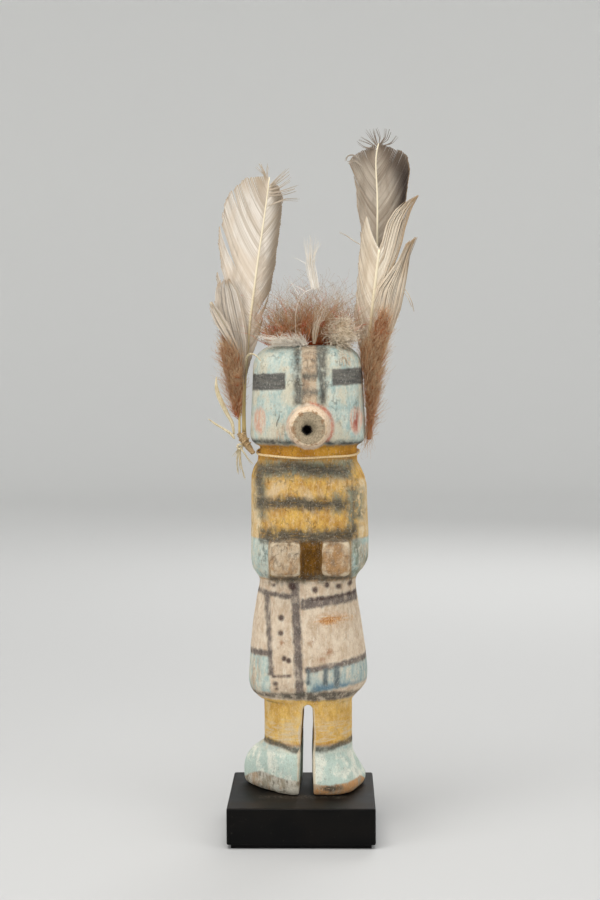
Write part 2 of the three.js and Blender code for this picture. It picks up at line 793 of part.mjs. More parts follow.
const doll = new THREE.Group();
doll.position.set(DOLL_X, DOLL_Y, BASE.height + GAP);
doll.add(
  mesh("figure", figure(), PAINTED_WOOD),
  mesh("snout", snout(), TWIG),
  mesh("neck_string", neckString(), COTTON),
  mesh("feather_left_main", leftMainFeather(), WHITE_FEATHER),
  mesh("feather_left_small", leftSmallFeather(), WHITE_FEATHER),
  mesh("feather_right_back", rightBackFeather(), GREY_FEATHER),
  mesh("feather_right_front", rightFrontFeather(), WHITE_FEATHER),
  mesh("down_left", downLock(DOWN_LEFT), RUST_DOWN),
  mesh("down_right", downLock(DOWN_RIGHT), RUST_DOWN),
  mesh("binding_left", binding(), FIBRE),
  mesh("strip_long", blade(LONG_STRIP, VANE, 2), FIBRE),
  mesh("strip_short", blade(SHORT_STRIP, VANE, 2), FIBRE),
  mesh("string_ends", stringEnds(), COTTON),
  mesh("loop_left", strand(LOOP, taper(0.45, 0.35), 10, 5), FIBRE),
  mesh("crown_fur", crownFur(), RUST_DOWN),
  mesh("crown_plume", plume(), WHITE_FEATHER),
  mesh("crown_wisp", wisp(), WHITE_FEATHER),
);
for (const [name, tuft] of Object.entries(CROWN_DOWN)) {
  doll.add(mesh(name, crownDown(tuft), WHITE_FEATHER));
}

const part = new THREE.Group();
part.add(mesh("base", baseBlock(), LACQUER), doll);

export default part;
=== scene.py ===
# A kachina doll: painted cottonwood root on a black block, with a twig snout, a string round the
# neck, tied feathers and down, and fur on the crown. Lengths are in millimetres in the doll's own
# frame (its axis, just above the block) and become metres in the shared frame through place().

import math

import bmesh
import bpy
import numpy as np
from mathutils import Matrix, Vector, noise


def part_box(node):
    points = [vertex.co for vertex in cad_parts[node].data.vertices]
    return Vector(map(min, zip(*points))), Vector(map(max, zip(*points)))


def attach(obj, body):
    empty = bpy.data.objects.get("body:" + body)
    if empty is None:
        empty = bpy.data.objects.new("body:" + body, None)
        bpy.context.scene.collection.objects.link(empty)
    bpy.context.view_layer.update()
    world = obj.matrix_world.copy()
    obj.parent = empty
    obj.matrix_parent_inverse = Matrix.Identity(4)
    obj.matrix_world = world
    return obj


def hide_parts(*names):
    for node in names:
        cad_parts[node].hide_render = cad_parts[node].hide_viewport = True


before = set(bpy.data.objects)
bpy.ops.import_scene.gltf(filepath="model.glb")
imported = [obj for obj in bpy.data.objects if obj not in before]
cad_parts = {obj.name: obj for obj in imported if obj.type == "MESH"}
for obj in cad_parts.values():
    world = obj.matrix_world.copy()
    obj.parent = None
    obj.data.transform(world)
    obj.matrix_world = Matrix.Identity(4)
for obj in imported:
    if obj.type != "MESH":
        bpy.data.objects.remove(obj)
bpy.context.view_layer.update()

MM = 0.001
DOLL = np.array((3.0, 7.5, 18.3))  # the doll's own origin: its axis, just above the block


def place(points):
    """The doll's millimetres as metres in the shared frame."""
    return (np.asarray(points, dtype=float) + DOLL) * MM


# ---------------------------------------------------------------- camera, floor and light


CAMERA_SPOT = (0.0141, -0.7809, 0.2218)
CAMERA_TURN = (1.07, 86.36, -0.2)  # degrees of yaw, pitch and roll


def set_camera():
    camera = bpy.data.objects.new("camera", bpy.data.cameras.new("camera"))
    bpy.context.collection.objects.link(camera)
    camera.data.lens = 70
    camera.data.sensor_width = 36
    camera.data.clip_start = 0.05
    yaw, pitch, roll = (Matrix.Rotation(math.radians(angle), 4, axis)
                        for angle, axis in zip(CAMERA_TURN, "ZXZ"))
    camera.matrix_world = Matrix.Translation(CAMERA_SPOT) @ yaw @ pitch @ roll
    bpy.context.scene.camera = camera


def soft_light(name, spot, aim, size, power, colour=(1, 1, 1)):
    lamp = bpy.data.lights.new(name, "AREA")
    lamp.shape = "DISK"
    lamp.size = size
    lamp.energy = power
    lamp.color = colour
    holder = bpy.data.objects.new(name, lamp)
    holder.location = spot
    holder.rotation_euler = (Vector(aim) - Vector(spot)).to_track_quat("-Z", "Y").to_euler()
    bpy.context.collection.objects.link(holder)


def set_studio():
    soft_light("overhead", (-0.10, -0.30, 1.05), (0, 0, 0.14), 0.75, 7.8, (1, 0.985, 0.96))
    soft_light("left_fill", (-0.95, -0.75, 0.45), (0, 0, 0.15), 0.8, 4.9)
    soft_light("right_fill", (0.95, -0.70, 0.40), (0, 0, 0.15), 0.8, 3.8)
    soft_light("back_edge", (0.25, 0.85, 0.75), (0, 0, 0.18), 0.6, 3.5)
    world = bpy.data.worlds.new("studio")
    world.use_nodes = True
    world.node_tree.nodes["Background"].inputs["Color"].default_value = (0.80, 0.81, 0.83, 1)
    world.node_tree.nodes["Background"].inputs["Strength"].default_value = 0.48
    bpy.context.scene.world = world
    bpy.context.scene.view_settings.view_transform = "Standard"


# ---------------------------------------------------------------- nodes, in shaders and shapes


def node(tree, kind, inputs=None, **settings):
    """A node with its settings made and its inputs set or linked, by name or number."""
    made = tree.nodes.new(kind)
    for name, value in settings.items():
        setattr(made, name, value)
    for key, value in (inputs or {}).items():
        if isinstance(value, bpy.types.NodeSocket):
            tree.links.new(value, made.inputs[key])
        else:
            made.inputs[key].default_value = value
    return made


def maths(tree, operation, first, second=0.0, clamp=False):
    made = node(tree, "ShaderNodeMath", {0: first, 1: second}, operation=operation, use_clamp=clamp)
    return made.outputs[0]


def times(tree, first, second):
    return maths(tree, "MULTIPLY", first, second)


def plus(tree, first, second):
    return maths(tree, "ADD", first, second)


def vectors(tree, operation, first, second=(0, 0, 0), scale=None):
    inputs = {0: first}
    if scale is None:
        inputs[1] = second
    else:
        inputs["Scale"] = scale
    return node(tree, "ShaderNodeVectorMath", inputs, operation=operation).outputs[0]


def colour(chip):
    """A paint chip's three 0 to 255 values as a linear colour; a socket stays as it is."""
    if isinstance(chip, bpy.types.NodeSocket):
        return chip
    channels = [value / 255 for value in chip]
    return tuple(c / 12.92 if c <= 0.04045 else ((c + 0.055) / 1.055) ** 2.4 for c in channels) + (1,)


class Finish:
    """A material under construction: its tree, its shader, its coat of paint so far."""

    def __init__(self, name, roughness=0.9, sheen=0.0, specular=0.35):
        self.material = bpy.data.materials.new(name)
        self.material.use_nodes = True
        self.tree = self.material.node_tree
        self.shader = self.tree.nodes["Principled BSDF"]
        self.shader.inputs["Roughness"].default_value = roughness
        self.shader.inputs["Specular IOR Level"].default_value = specular
        self.shader.inputs["Sheen Weight"].default_value = sheen
        self.where = node(self.tree, "ShaderNodeTexCoord").outputs["Object"]
        self.coat = None

    def attribute(self, name):
        return node(self.tree, "ShaderNodeAttribute", attribute_name=name).outputs["Fac"]

    def grain(self, size, stretch=(1, 1, 1), detail=3.0, rough=0.55, shift=0.0):
        """Cloudy variation from 0 to 1 whose patches are about size millimetres, times stretch."""
        scale = [1 / (size * MM * share) for share in stretch]
        spots = node(self.tree, "ShaderNodeMapping",
                     {"Vector": self.where, "Scale": scale, "Location": (shift, shift * 0.7, shift * 1.3)})
        cloud = node(self.tree, "ShaderNodeTexNoise",
                     {"Vector": spots.outputs[0], "Scale": 1.0, "Detail": detail, "Roughness": rough})
        return cloud.outputs["Fac"]

    def step(self, value, start, end, low=0.0, high=1.0):
        """From low to high, softly, as a value passes from start to end."""
        made = node(self.tree, "ShaderNodeMapRange",
                    {"Value": value, "From Min": start, "From Max": end, "To Min": low, "To Max": high},
                    interpolation_type="SMOOTHSTEP")
        return made.outputs[0]

    def axis(self, name):
        """How far along X, Y or Z a point lies, in metres."""
        return node(self.tree, "ShaderNodeSeparateXYZ", {0: self.where}).outputs[name]

    def mix(self, share, first, second):
        """Two paints, each a chip or what a node gives."""
        paints = {0: share, 6: colour(first), 7: colour(second)}
        return node(self.tree, "ShaderNodeMix", paints, data_type="RGBA").outputs[2]

    def blend(self, mark, start, end, first, second, most=1.0):
        """The first paint, and the second, at most so much of it, as a mark passes from start to end."""
        return self.mix(self.step(mark, start, end, 0.0, most), first, second)

    def lay(self, share, paint):
        """Covers a share of the coat so far."""
        self.coat = self.mix(share, self.coat, paint)

    def times(self, first, second):
        return times(self.tree, first, second)

    def plus(self, first, second):
        return plus(self.tree, first, second)

    def centred(self, mark, size):
        """A mark from 0 to 1 turned into one from minus to plus half a size."""
        return self.times(maths(self.tree, "SUBTRACT", mark, 0.5), size)

    def paint(self, result=None):
        self.tree.links.new(result or self.coat, self.shader.inputs["Base Color"])

    def rough(self, result):
        self.tree.links.new(result, self.shader.inputs["Roughness"])

    def relief(self, height, depth, strength=1.0):
        """Bump whose full height is depth millimetres."""
        bump = node(self.tree, "ShaderNodeBump",
                    {"Height": height, "Distance": depth * MM, "Strength": strength})
        self.tree.links.new(bump.outputs[0], self.shader.inputs["Normal"])


# ---------------------------------------------------------------- meshes


def piece(name, mesh, finish, *, stands_for=(), smooth=True):
    """A finished piece of the doll: its object at the origin, riding on the one body."""
    made = bpy.data.objects.new(name, mesh)
    bpy.context.collection.objects.link(made)
    if finish is not None:
        mesh.materials.clear()
        mesh.materials.append(finish.material)
    for polygon in mesh.polygons:
        polygon.use_smooth = smooth
    if stands_for:
        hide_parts(*stands_for)
    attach(made, "root")
    return made


def mesh_from(points, faces):
    mesh = bpy.data.meshes.new("shape")
    mesh.from_pydata([tuple(point) for point in points], [], [tuple(face) for face in faces])
    mesh.update()
    return mesh


def evaluated(worker):
    """The mesh that an object's modifiers make; the worker is thrown away."""
    bpy.context.view_layer.update()
    ready = worker.evaluated_get(bpy.context.evaluated_depsgraph_get())
    mesh = bpy.data.meshes.new_from_object(ready)
    bpy.data.objects.remove(worker, do_unlink=True)
    return mesh


def worker_for(mesh):
    made = bpy.data.objects.new("worker", mesh)
    bpy.context.collection.objects.link(made)
    return made


LENGTHS = ("Shortest", "Longest", "Wave", "Wave_Size", "Curl", "Droop", "Thickness", "Winding", "Ply",
           "Pitch", "Step")


def grown(mesh, tree, finish, **inputs):
    """What a shape tree makes of a mesh, its named inputs set first, lengths in millimetres."""
    worker = worker_for(mesh)
    modifier = worker.modifiers.new("grow", "NODES")
    modifier.node_group = tree
    sockets = {item.name: item.identifier for item in tree.interface.items_tree if item.in_out == "INPUT"}
    for name, value in inputs.items():
        modifier[sockets[name.replace("_", " ")]] = value * MM if name in LENGTHS else value
    modifier[sockets["Material"]] = finish.material
    return evaluated(worker)


def mesh_of(shape, name):
    """A finished bmesh as a mesh."""
    mesh = bpy.data.meshes.new(name)
    shape.to_mesh(mesh)
    shape.free()
    return mesh


def welded(node_name):
    """A CAD node's skin as a bmesh, its doubled points made one."""
    shape = bmesh.new()
    shape.from_mesh(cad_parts[node_name].data)
    bmesh.ops.remove_doubles(shape, verts=shape.verts, dist=2e-6)
    return shape


def facing_out(mesh):
    """Turns every face of a closed mesh outwards."""
    skin = bmesh.new()
    skin.from_mesh(mesh)
    bmesh.ops.recalc_face_normals(skin, faces=skin.faces)
    skin.to_mesh(mesh)
    skin.free()
    return mesh


def softened(values, rounds):
    """Evens out a run of values or points whose ends stay put."""
    for _ in range(rounds):
        values[1:-1] = 0.5 * values[1:-1] + 0.25 * (values[:-2] + values[2:])
    return values


def set_attribute(mesh, name, values):
    """A value for each point, or one for them all."""
    layer = mesh.attributes.new(name, "FLOAT", "POINT")
    values = np.broadcast_to(np.asarray(values, dtype=np.float32), len(mesh.vertices))
    layer.data.foreach_set("value", np.ascontiguousarray(values))


def fur_coloured(mesh, finish, share, tone):
    """A plain mesh that takes its colour as one spot on a hair or a barb does."""
    set_attribute(mesh, "share", share)
    set_attribute(mesh, "tone", tone)
    mesh.materials.append(finish.material)
    return mesh


def rows_of(collection, name):
    """A three-part property of every item, as rows."""
    flat = np.empty(len(collection) * 3, dtype=np.float32)
    collection.foreach_get(name, flat)
    return flat.reshape(-1, 3)


def band_faces(rings, around, first=0):
    """Faces between stacked rings of points, the first ring starting at a number."""
    faces = []
    for ring in range(rings - 1):
        for side in range(around):
            a = first + ring * around + side
            b = first + ring * around + (side + 1) % around
            faces.append((a, b, b + around, a + around))
    return faces


def ring_faces(rings, around):
    """Faces of a skin of stacked rings whose first and last points are single poles."""
    faces = band_faces(rings, around, 1)
    last, tail = 1 + rings * around, 1 + (rings - 1) * around
    for side in range(around):
        faces.append((0, 1 + (side + 1) % around, 1 + side))
        faces.append((last, tail + side, tail + (side + 1) % around))
    return faces


# ---------------------------------------------------------------- shape trees


def shape_tree(name, sockets):
    """A shape tree, what it is given and where its result goes."""
    tree = bpy.data.node_groups.new(name, "GeometryNodeTree")
    tree.interface.new_socket("Geometry", in_out="INPUT", socket_type="NodeSocketGeometry")
    for label, kind, value in sockets:
        socket = tree.interface.new_socket(label, in_out="INPUT", socket_type="NodeSocket" + kind)
        if value is not None:
            socket.default_value = value
    tree.interface.new_socket("Geometry", in_out="OUTPUT", socket_type="NodeSocketGeometry")
    given = tree.nodes.new("NodeGroupInput").outputs
    result = tree.nodes.new("NodeGroupOutput").inputs
    return tree, given, result


def end_tree(tree, result, shape, material):
    """Ends a shape tree: real geometry with its material on."""
    real = node(tree, "GeometryNodeRealizeInstances", {"Geometry": shape.outputs[0]})
    done = node(tree, "GeometryNodeSetMaterial", {"Geometry": real.outputs[0], "Material": material})
    tree.links.new(done.outputs[0], result[0])
    return tree


def named(tree, name):
    return node(tree, "GeometryNodeInputNamedAttribute", {"Name": name}).outputs["Attribute"]


def drift(tree, amount, size, seed):
    """A wandering offset, up to about amount, that changes over about size metres."""
    place_now = node(tree, "GeometryNodeInputPosition").outputs[0]
    cloud = node(tree, "ShaderNodeTexNoise",
                 {"Vector": place_now, "W": seed, "Scale": maths(tree, "DIVIDE", 1.0, size), "Detail": 1.0},
                 noise_dimensions="4D")
    centred = vectors(tree, "SUBTRACT", cloud.outputs["Color"], (0.5, 0.5, 0.5))
    return vectors(tree, "SCALE", centred, scale=amount)


def barb_tree():
    """Edges in rows become flat barbs or round fibres, as thick as their points say."""
    tree, given, result = shape_tree("barbs", [
        ("Flatness", "Float", 1.0),
        ("Wave", "Float", 0.0),
        ("Wave Size", "Float", 0.004),
        ("Seed", "Float", 1.0),
        ("Material", "Material", None),
    ])
    lines = node(tree, "GeometryNodeMeshToCurve", {"Mesh": given["Geometry"]}).outputs[0]
    share = named(tree, "share")
    reach = times(tree, given["Wave"], share)
    moved = node(tree, "GeometryNodeSetPosition",
                 {"Geometry": lines, "Offset": drift(tree, reach, given["Wave Size"], given["Seed"])})
    faced = node(tree, "GeometryNodeSetCurveNormal", {"Curve": moved.outputs[0], "Normal": (0, -1, 0)},
                 mode="FREE")
    circle = node(tree, "GeometryNodeCurvePrimitiveCircle", {"Resolution": 3, "Radius": 1.0})
    shape = node(tree, "ShaderNodeCombineXYZ", {"X": given["Flatness"], "Y": 1.0, "Z": 1.0})
    section = node(tree, "GeometryNodeTransform", {"Geometry": circle.outputs[0], "Scale": shape.outputs[0]})
    tube = node(tree, "GeometryNodeCurveToMesh",
                {"Curve": faced.outputs[0], "Profile Curve": section.outputs[0],
                 "Scale": named(tree, "thick"), "Fill Caps": True})
    return end_tree(tree, result, tube, given["Material"])


def fur_tree():
    """Hairs that stand on a patch, fanned out from its middle, waved and drooping at their ends."""
    tree, given, result = shape_tree("fur", [
        ("Density", "Float", 1e6),
        ("Shortest", "Float", 0.01),
        ("Longest", "Float", 0.02),
        ("Aim", "Vector", (0, 0, 1)),
        ("Middle", "Vector", (0, 0, 0)),
        ("Fan", "Float", 1.0),
        ("Scatter", "Float", 0.3),
        ("Wave", "Float", 0.003),
        ("Wave Size", "Float", 0.006),
        ("Curl", "Float", 0.0),
        ("Turns", "Float", 1.0),
        ("Droop", "Float", 0.0),
        ("Thickness", "Float", 0.0001),
        ("Steps", "Int", 6),
        ("Seed", "Int", 1),
        ("Material", "Material", None),
    ])
    spread = node(tree, "GeometryNodeDistributePointsOnFaces",
                  {"Mesh": given["Geometry"], "Density": given["Density"], "Seed": given["Seed"]})
    here = node(tree, "GeometryNodeInputPosition").outputs[0]
    outward = vectors(tree, "SCALE", vectors(tree, "SUBTRACT", here, given["Middle"]), scale=given["Fan"])
    loose = node(tree, "FunctionNodeRandomValue",
                 {"Min": (-1, -1, -1), "Max": (1, 1, 1), "Seed": given["Seed"]}, data_type="FLOAT_VECTOR")
    scattered = vectors(tree, "SCALE", loose.outputs[0], scale=given["Scatter"])
    aim = vectors(tree, "ADD", vectors(tree, "ADD", outward, given["Aim"]), scattered)
    turned = node(tree, "FunctionNodeAlignRotationToVector", {"Vector": aim}, axis="Z")
    length = node(tree, "FunctionNodeRandomValue",
                  {2: given["Shortest"], 3: given["Longest"], "Seed": plus(tree, given["Seed"], 7.0)},
                  data_type="FLOAT")
    tone = node(tree, "FunctionNodeRandomValue",
                {2: 0.0, 3: 1.0, "Seed": plus(tree, given["Seed"], 3.0)}, data_type="FLOAT")
    toned = node(tree, "GeometryNodeStoreNamedAttribute",
                 {"Geometry": spread.outputs["Points"], "Name": "tone", "Value": tone.outputs[1]},
                 data_type="FLOAT", domain="POINT")
    hair = node(tree, "GeometryNodeCurvePrimitiveLine", {"Start": (0, 0, 0), "End": (0, 0, 1)})
    hair = node(tree, "GeometryNodeResampleCurve", {"Curve": hair.outputs[0], "Count": given["Steps"]})
    stood = node(tree, "GeometryNodeInstanceOnPoints",
                 {"Points": toned.outputs[0], "Instance": hair.outputs[0],
                  "Rotation": turned.outputs[0], "Scale": length.outputs[1]})
    real = node(tree, "GeometryNodeRealizeInstances", {"Geometry": stood.outputs[0]})
    factor = node(tree, "GeometryNodeSplineParameter").outputs["Factor"]
    shared = node(tree, "GeometryNodeStoreNamedAttribute",
                  {"Geometry": real.outputs[0], "Name": "share", "Value": factor},
                  data_type="FLOAT", domain="POINT")
    share = named(tree, "share")
    bend = maths(tree, "POWER", share, 1.5)
    strand_seed = times(tree, named(tree, "tone"), 40.0)
    wander = drift(tree, times(tree, given["Wave"], bend), given["Wave Size"], strand_seed)
    fall = times(tree, times(tree, given["Droop"], -1.0),
                 maths(tree, "POWER", share, 2.2))
    start = times(tree, named(tree, "tone"), 63.0)
    turned_by = times(tree, times(tree, given["Turns"], math.tau), share)
    angle = plus(tree, turned_by, start)
    radius = times(tree, given["Curl"], share)
    ring = node(tree, "ShaderNodeCombineXYZ", {
        "X": times(tree, maths(tree, "COSINE", angle), radius),
        "Y": times(tree, maths(tree, "SINE", angle), radius),
        "Z": times(tree, maths(tree, "SINE", angle), times(tree, radius, 0.5))})
    sag = node(tree, "ShaderNodeCombineXYZ", {"X": 0.0, "Y": 0.0, "Z": fall}).outputs[0]
    offset = vectors(tree, "ADD", vectors(tree, "ADD", wander, sag), ring.outputs[0])
    moved = node(tree, "GeometryNodeSetPosition", {"Geometry": shared.outputs[0], "Offset": offset})
    circle = node(tree, "GeometryNodeCurvePrimitiveCircle", {"Resolution": 3, "Radius": 1.0})
    slim = node(tree, "ShaderNodeMapRange", {"Value": share, "To Min": 1.0, "To Max": 0.35})
    tube = node(tree, "GeometryNodeCurveToMesh",
                {"Curve": moved.outputs[0], "Profile Curve": circle.outputs[0],
                 "Scale": times(tree, given["Thickness"], slim.outputs[0]), "Fill Caps": True})
    return end_tree(tree, result, tube, given["Material"])


def cord_tree():
    """Plies that wind round a path: a twisted string, or a thread wound onto a quill."""
    tree, given, result = shape_tree("wound_cord", [
        ("Plies", "Int", 2),
        ("Winding", "Float", 0.0002),
        ("Ply", "Float", 0.0002),
        ("Pitch", "Float", 0.001),
        ("Step", "Float", 0.0002),
        ("Sides", "Int", 6),
        ("Material", "Material", None),
    ])
    path = node(tree, "GeometryNodeMeshToCurve", {"Mesh": given["Geometry"]}).outputs[0]
    fine = node(tree, "GeometryNodeResampleCurve", {"Curve": path, "Length": given["Step"]}, mode="LENGTH")
    copies = node(tree, "GeometryNodeDuplicateElements",
                  {"Geometry": fine.outputs[0], "Amount": given["Plies"]}, domain="SPLINE")
    length = node(tree, "GeometryNodeSplineParameter").outputs["Length"]
    # a closed string gets a whole number of twists
    whole = node(tree, "GeometryNodeSplineLength").outputs["Length"]
    twists = maths(tree, "ROUND", maths(tree, "DIVIDE", whole, given["Pitch"]))
    along = maths(tree, "DIVIDE", times(tree, length, twists), whole)
    phase = maths(tree, "DIVIDE", copies.outputs["Duplicate Index"], given["Plies"])
    angle = times(tree, plus(tree, along, phase), math.tau)
    normal = node(tree, "GeometryNodeInputNormal").outputs[0]
    tangent = node(tree, "GeometryNodeInputTangent").outputs[0]
    across = vectors(tree, "CROSS_PRODUCT", tangent, normal)
    slim = times(tree, given["Winding"], named(tree, "thick"))
    one = vectors(tree, "SCALE", normal, scale=times(tree, slim, maths(tree, "COSINE", angle)))
    two = vectors(tree, "SCALE", across, scale=times(tree, slim, maths(tree, "SINE", angle)))
    moved = node(tree, "GeometryNodeSetPosition",
                 {"Geometry": copies.outputs[0], "Offset": vectors(tree, "ADD", one, two)})
    circle = node(tree, "GeometryNodeCurvePrimitiveCircle",
                  {"Resolution": given["Sides"], "Radius": given["Ply"]})
    tube = node(tree, "GeometryNodeCurveToMesh",
                {"Curve": moved.outputs[0], "Profile Curve": circle.outputs[0], "Fill Caps": True})
    return end_tree(tree, result, tube, given["Material"])


def rows_mesh(lines, thick, tone=None, closed=False):
    """Lines of points, in the doll's millimetres, as edges that carry share, thick and tone."""
    mesh = bpy.data.meshes.new("lines")
    points, edges, shares, widths, tones = [], [], [], [], []
    for number, line in enumerate(lines):
        start = len(points)
        count = len(line)
        points.extend(tuple(point) for point in place(line))
        edges.extend((start + i, start + i + 1) for i in range(count - 1))
        if closed:
            edges.append((start + count - 1, start))
        shares.extend(np.linspace(0, 1, count))
        widths.extend(np.broadcast_to(thick[number], count))
        tones.extend([0.5 if tone is None else tone[number]] * count)
    mesh.from_pydata(points, edges, [])
    set_attribute(mesh, "share", shares)
    set_attribute(mesh, "thick", widths)
    set_attribute(mesh, "tone", tones)
    return mesh


def joined(meshes):
    """Several meshes of one material as one mesh."""
    whole = bmesh.new()
    for mesh in meshes:
        whole.from_mesh(mesh)
    result = meshes[0].copy()
    whole.to_mesh(result)
    whole.free()
    return result


# ---------------------------------------------------------------- the black block


def block_lacquer():
    """Black lacquer, browner in patches on its top, with specks of dust, and crumbs of paint in front of the
    feet.
    """
    lacquer = Finish("black_lacquer", roughness=0.5, specular=0.12)
    step, times = lacquer.step, lacquer.times
    dust = step(lacquer.grain(1.6, detail=5, rough=0.7), 0.60, 0.75)
    cloud = lacquer.grain(22, stretch=(1, 1, 0.6), shift=3.1)
    up = node(lacquer.tree, "ShaderNodeSeparateXYZ",
              {0: node(lacquer.tree, "ShaderNodeNewGeometry").outputs["Normal"]}).outputs["Z"]
    # browner in patches on the top
    browner_top = times(step(up, 0.6, 1.0, 0.12, 1.0), step(cloud, 0.35, 0.75))
    lacquer.coat = lacquer.mix(browner_top, (4, 4, 4), (44, 36, 28))
    lacquer.lay(times(dust, 0.22), (88, 82, 74))
    x, y = lacquer.axis("X"), lacquer.axis("Y")
    before_feet = times(step(y, -0.0165, -0.0135), step(y, -0.0085, -0.0115))
    beside_feet = times(step(x, -0.023, -0.015), step(x, 0.024, 0.016))
    crumbs = step(lacquer.grain(0.7, detail=5, rough=0.75, shift=6.0), 0.50, 0.66)
    spill = times(times(before_feet, beside_feet), times(crumbs, step(up, 0.9, 1.0)))
    lacquer.lay(times(spill, 0.6), (150, 140, 124))
    lacquer.paint()
    lacquer.rough(step(cloud, 0.2, 0.8, 0.42, 0.58))
    lacquer.relief(lacquer.grain(9, detail=2), 0.12, 0.5)
    return lacquer


def make_base():
    """The block: a board sawn square, its edges broken, set in a little round its foot."""
    low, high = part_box("base")
    half = (high[0] - low[0]) / 2
    inset = 0.0018  # of the foot, and its height
    overlap = 0.0006  # of the foot into the block
    whole = bmesh.new()
    for size, bottom, top, soft in ((half, inset, high[2], 0.0009),
                                    (half - inset, 0.0, inset + overlap, 0.0003)):
        made = bmesh.ops.create_cube(whole, size=1.0)
        for vert in made["verts"]:
            vert.co = Vector((vert.co.x * 2 * size, vert.co.y * 2 * size,
                              bottom if vert.co.z < 0 else top))
        edges = {edge for vert in made["verts"] for edge in vert.link_edges}
        bmesh.ops.bevel(whole, geom=list(edges), offset=soft, segments=4, profile=0.55, affect="EDGES")
    bmesh.ops.recalc_face_normals(whole, faces=whole.faces)
    block = piece("block", mesh_of(whole, "block"), block_lacquer(), stands_for=("base",))
    tidy = block.modifiers.new("even_shading", "WEIGHTED_NORMAL")
    tidy.keep_sharp = True


# ---------------------------------------------------------------- the carving


def noisy(points, size, stretch=(1, 1, 1), shift=0.0):
    """Smooth variation from -1 to 1 at points in millimetres."""
    scaled = points / (size * np.array(stretch)) + shift
    return np.array([noise.noise(Vector(point)) for point in scaled])


def neighbours(mesh):
    edges = np.empty(len(mesh.edges) * 2, dtype=np.int64)
    mesh.edges.foreach_get("vertices", edges)
    return edges.reshape(-1, 2)


def spread_out(values, edges, count, rounds):
    """Averages a value over each point's neighbours, several times."""
    degree = np.bincount(edges.ravel(), minlength=count).astype(float)
    for _ in range(rounds):
        total = np.zeros_like(values)
        np.add.at(total, edges[:, 0], values[edges[:, 1]])
        np.add.at(total, edges[:, 1], values[edges[:, 0]])
        values = 0.5 * values + 0.5 * (total.T / degree).T
    return values


# keeps the carving just under the most triangles a piece may have
VOXEL = 0.68 * MM  # the size of the voxels the carving is remeshed with, which sets its triangle count


def carved_wood():
    """The carving's solid, made fine and soft-edged, then cut over with a knife's small marks."""
    worker = worker_for(mesh_of(welded("figure"), "carving"))
    remesh = worker.modifiers.new("fine", "REMESH")
    remesh.mode = "VOXEL"
    remesh.voxel_size = VOXEL
    soften = worker.modifiers.new("soften", "SMOOTH")
    soften.factor = 0.5
    soften.iterations = 9
    fine = evaluated(worker)
    points = rows_of(fine.vertices, "co").astype(float) / MM - DOLL
    normals = rows_of(fine.vertex_normals, "vector")
    knife = noisy(points, 9, (1, 1, 2.2), 11.0)
    facets = np.abs(noisy(points, 5.5, (1, 1, 3.0), 4.0))
    grain = noisy(points, 1.7, (1, 1, 9), 7.0)
    lumps = noisy(points, 2.6, (1, 1, 1.4), 17.0)
    soles = np.clip((points[:, 2] - 1.0) / 3.0, 0, 1)  # the soles stay flat on the block
    height = soles * (0.16 * knife - 0.14 * facets + 0.05 * grain + 0.06 * lumps)
    points = points + normals * height[:, None]
    fine.vertices.foreach_set("co", place(points).astype(np.float32).ravel())
    fine.update()
    return fine, points, normals


def between(value, low, high):
    """How far a value lies outside a range: negative inside it."""
    return np.maximum(low - value, value - high)


def upright_box(x, z, left, right, low, high):
    """Signed distance to an upright rectangle in x and z: negative inside it."""
    return np.maximum(between(x, left, right), between(z, low, high))


def oval(x, z, middle_x, middle_z, half_x, half_z):
    reach = np.hypot((x - middle_x) / half_x, (z - middle_z) / half_z)
    return (reach - 1) * min(half_x, half_z)


def either(*parts):
    return np.minimum.reduce(parts)


def only(part, *limits):
    return np.maximum.reduce((part,) + limits)


def outside(part):
    return -part


def paint_eyes(x, y, z):
    slope = 0.045 * x
    left = upright_box(x, z - slope, -24.6, -9.6, 181.6, 189.0)
    right = upright_box(x, z - slope, 11.0, 30.0, 182.2, 189.6)
    return only(either(left, right), y + 4)


def paint_centre_blacks(x, y, z):
    left = upright_box(x, z, -6.0, -2.0 - 0.9 * np.clip((z - 180) / 18, 0, 1), 174.6, 199.6)
    right = upright_box(x, z, 4.2 + 0.9 * np.clip((188 - z) / 10, 0, 1), 8.4, 174.4, 201.0)
    bars = either(upright_box(x, z, -2.8, 5.0, 185.6, 188.4), upright_box(x, z, -2.8, 5.0, 178.6, 181.5))
    return only(either(left, right, bars), y + 4)


def paint_centre_smears(x, y, z):
    bars = either(upright_box(x, z, -2.8, 4.8, 196.8, 198.4), upright_box(x, z, -2.0, 4.4, 193.2, 194.8),
                  upright_box(x, z, -2.8, 3.4, 190.4, 191.8))
    return only(bars, y + 4)


def paint_dark_bands(x, y, z):
    """Bands across the chest, and under the hands a dark line that is also painted shade beneath them."""
    sway = 0.5 * np.sin(x / 6) + 0.3 * np.sin(x / 2.6 + 1)
    bands = either(upright_box(x, z + sway + 0.004 * (x + 2) ** 2, -22.6, 18.6, 143.8, 149.0),
                   upright_box(x, z + sway, -23.4, 17.8, 128.2, 133.4),
                   upright_box(x + 0.4 * np.sin(z / 2), z, -23.2, -20.2, 134, 147),
                   upright_box(x, z + 0.6 * sway - 0.02 * x, -20.8, 21.6, 113.6, 119.4))
    # partly painted shade: the dark band under the overhanging hands is a painted line and the shade beneath
    # them
    line_and_shade_under_hands = upright_box(x, z - 0.03 * x, -17.5, 19.5, 95.4, 99.0)
    return either(only(bands, y + 4), only(line_and_shade_under_hands, y + 8))


def paint_smudges(x, y, z):
    """Where black has been rubbed along the chest and one arm."""
    right = either(upright_box(x, z, 17, 21.5, 119, 138), upright_box(x, z, 11, 15.5, 126, 136),
                   upright_box(x, z, 20, 25, 123, 137))
    left = upright_box(x, z, -22.4, -18.2, 124, 148)
    edge = upright_box(x, z, -20, 21, 141.5, 150.5)
    arm = either(upright_box(x, z, 19.4, 23.6, 97, 114), upright_box(x, z, 24.6, 29.5, 98, 108))
    return only(either(right, left, edge, arm), y + 4)


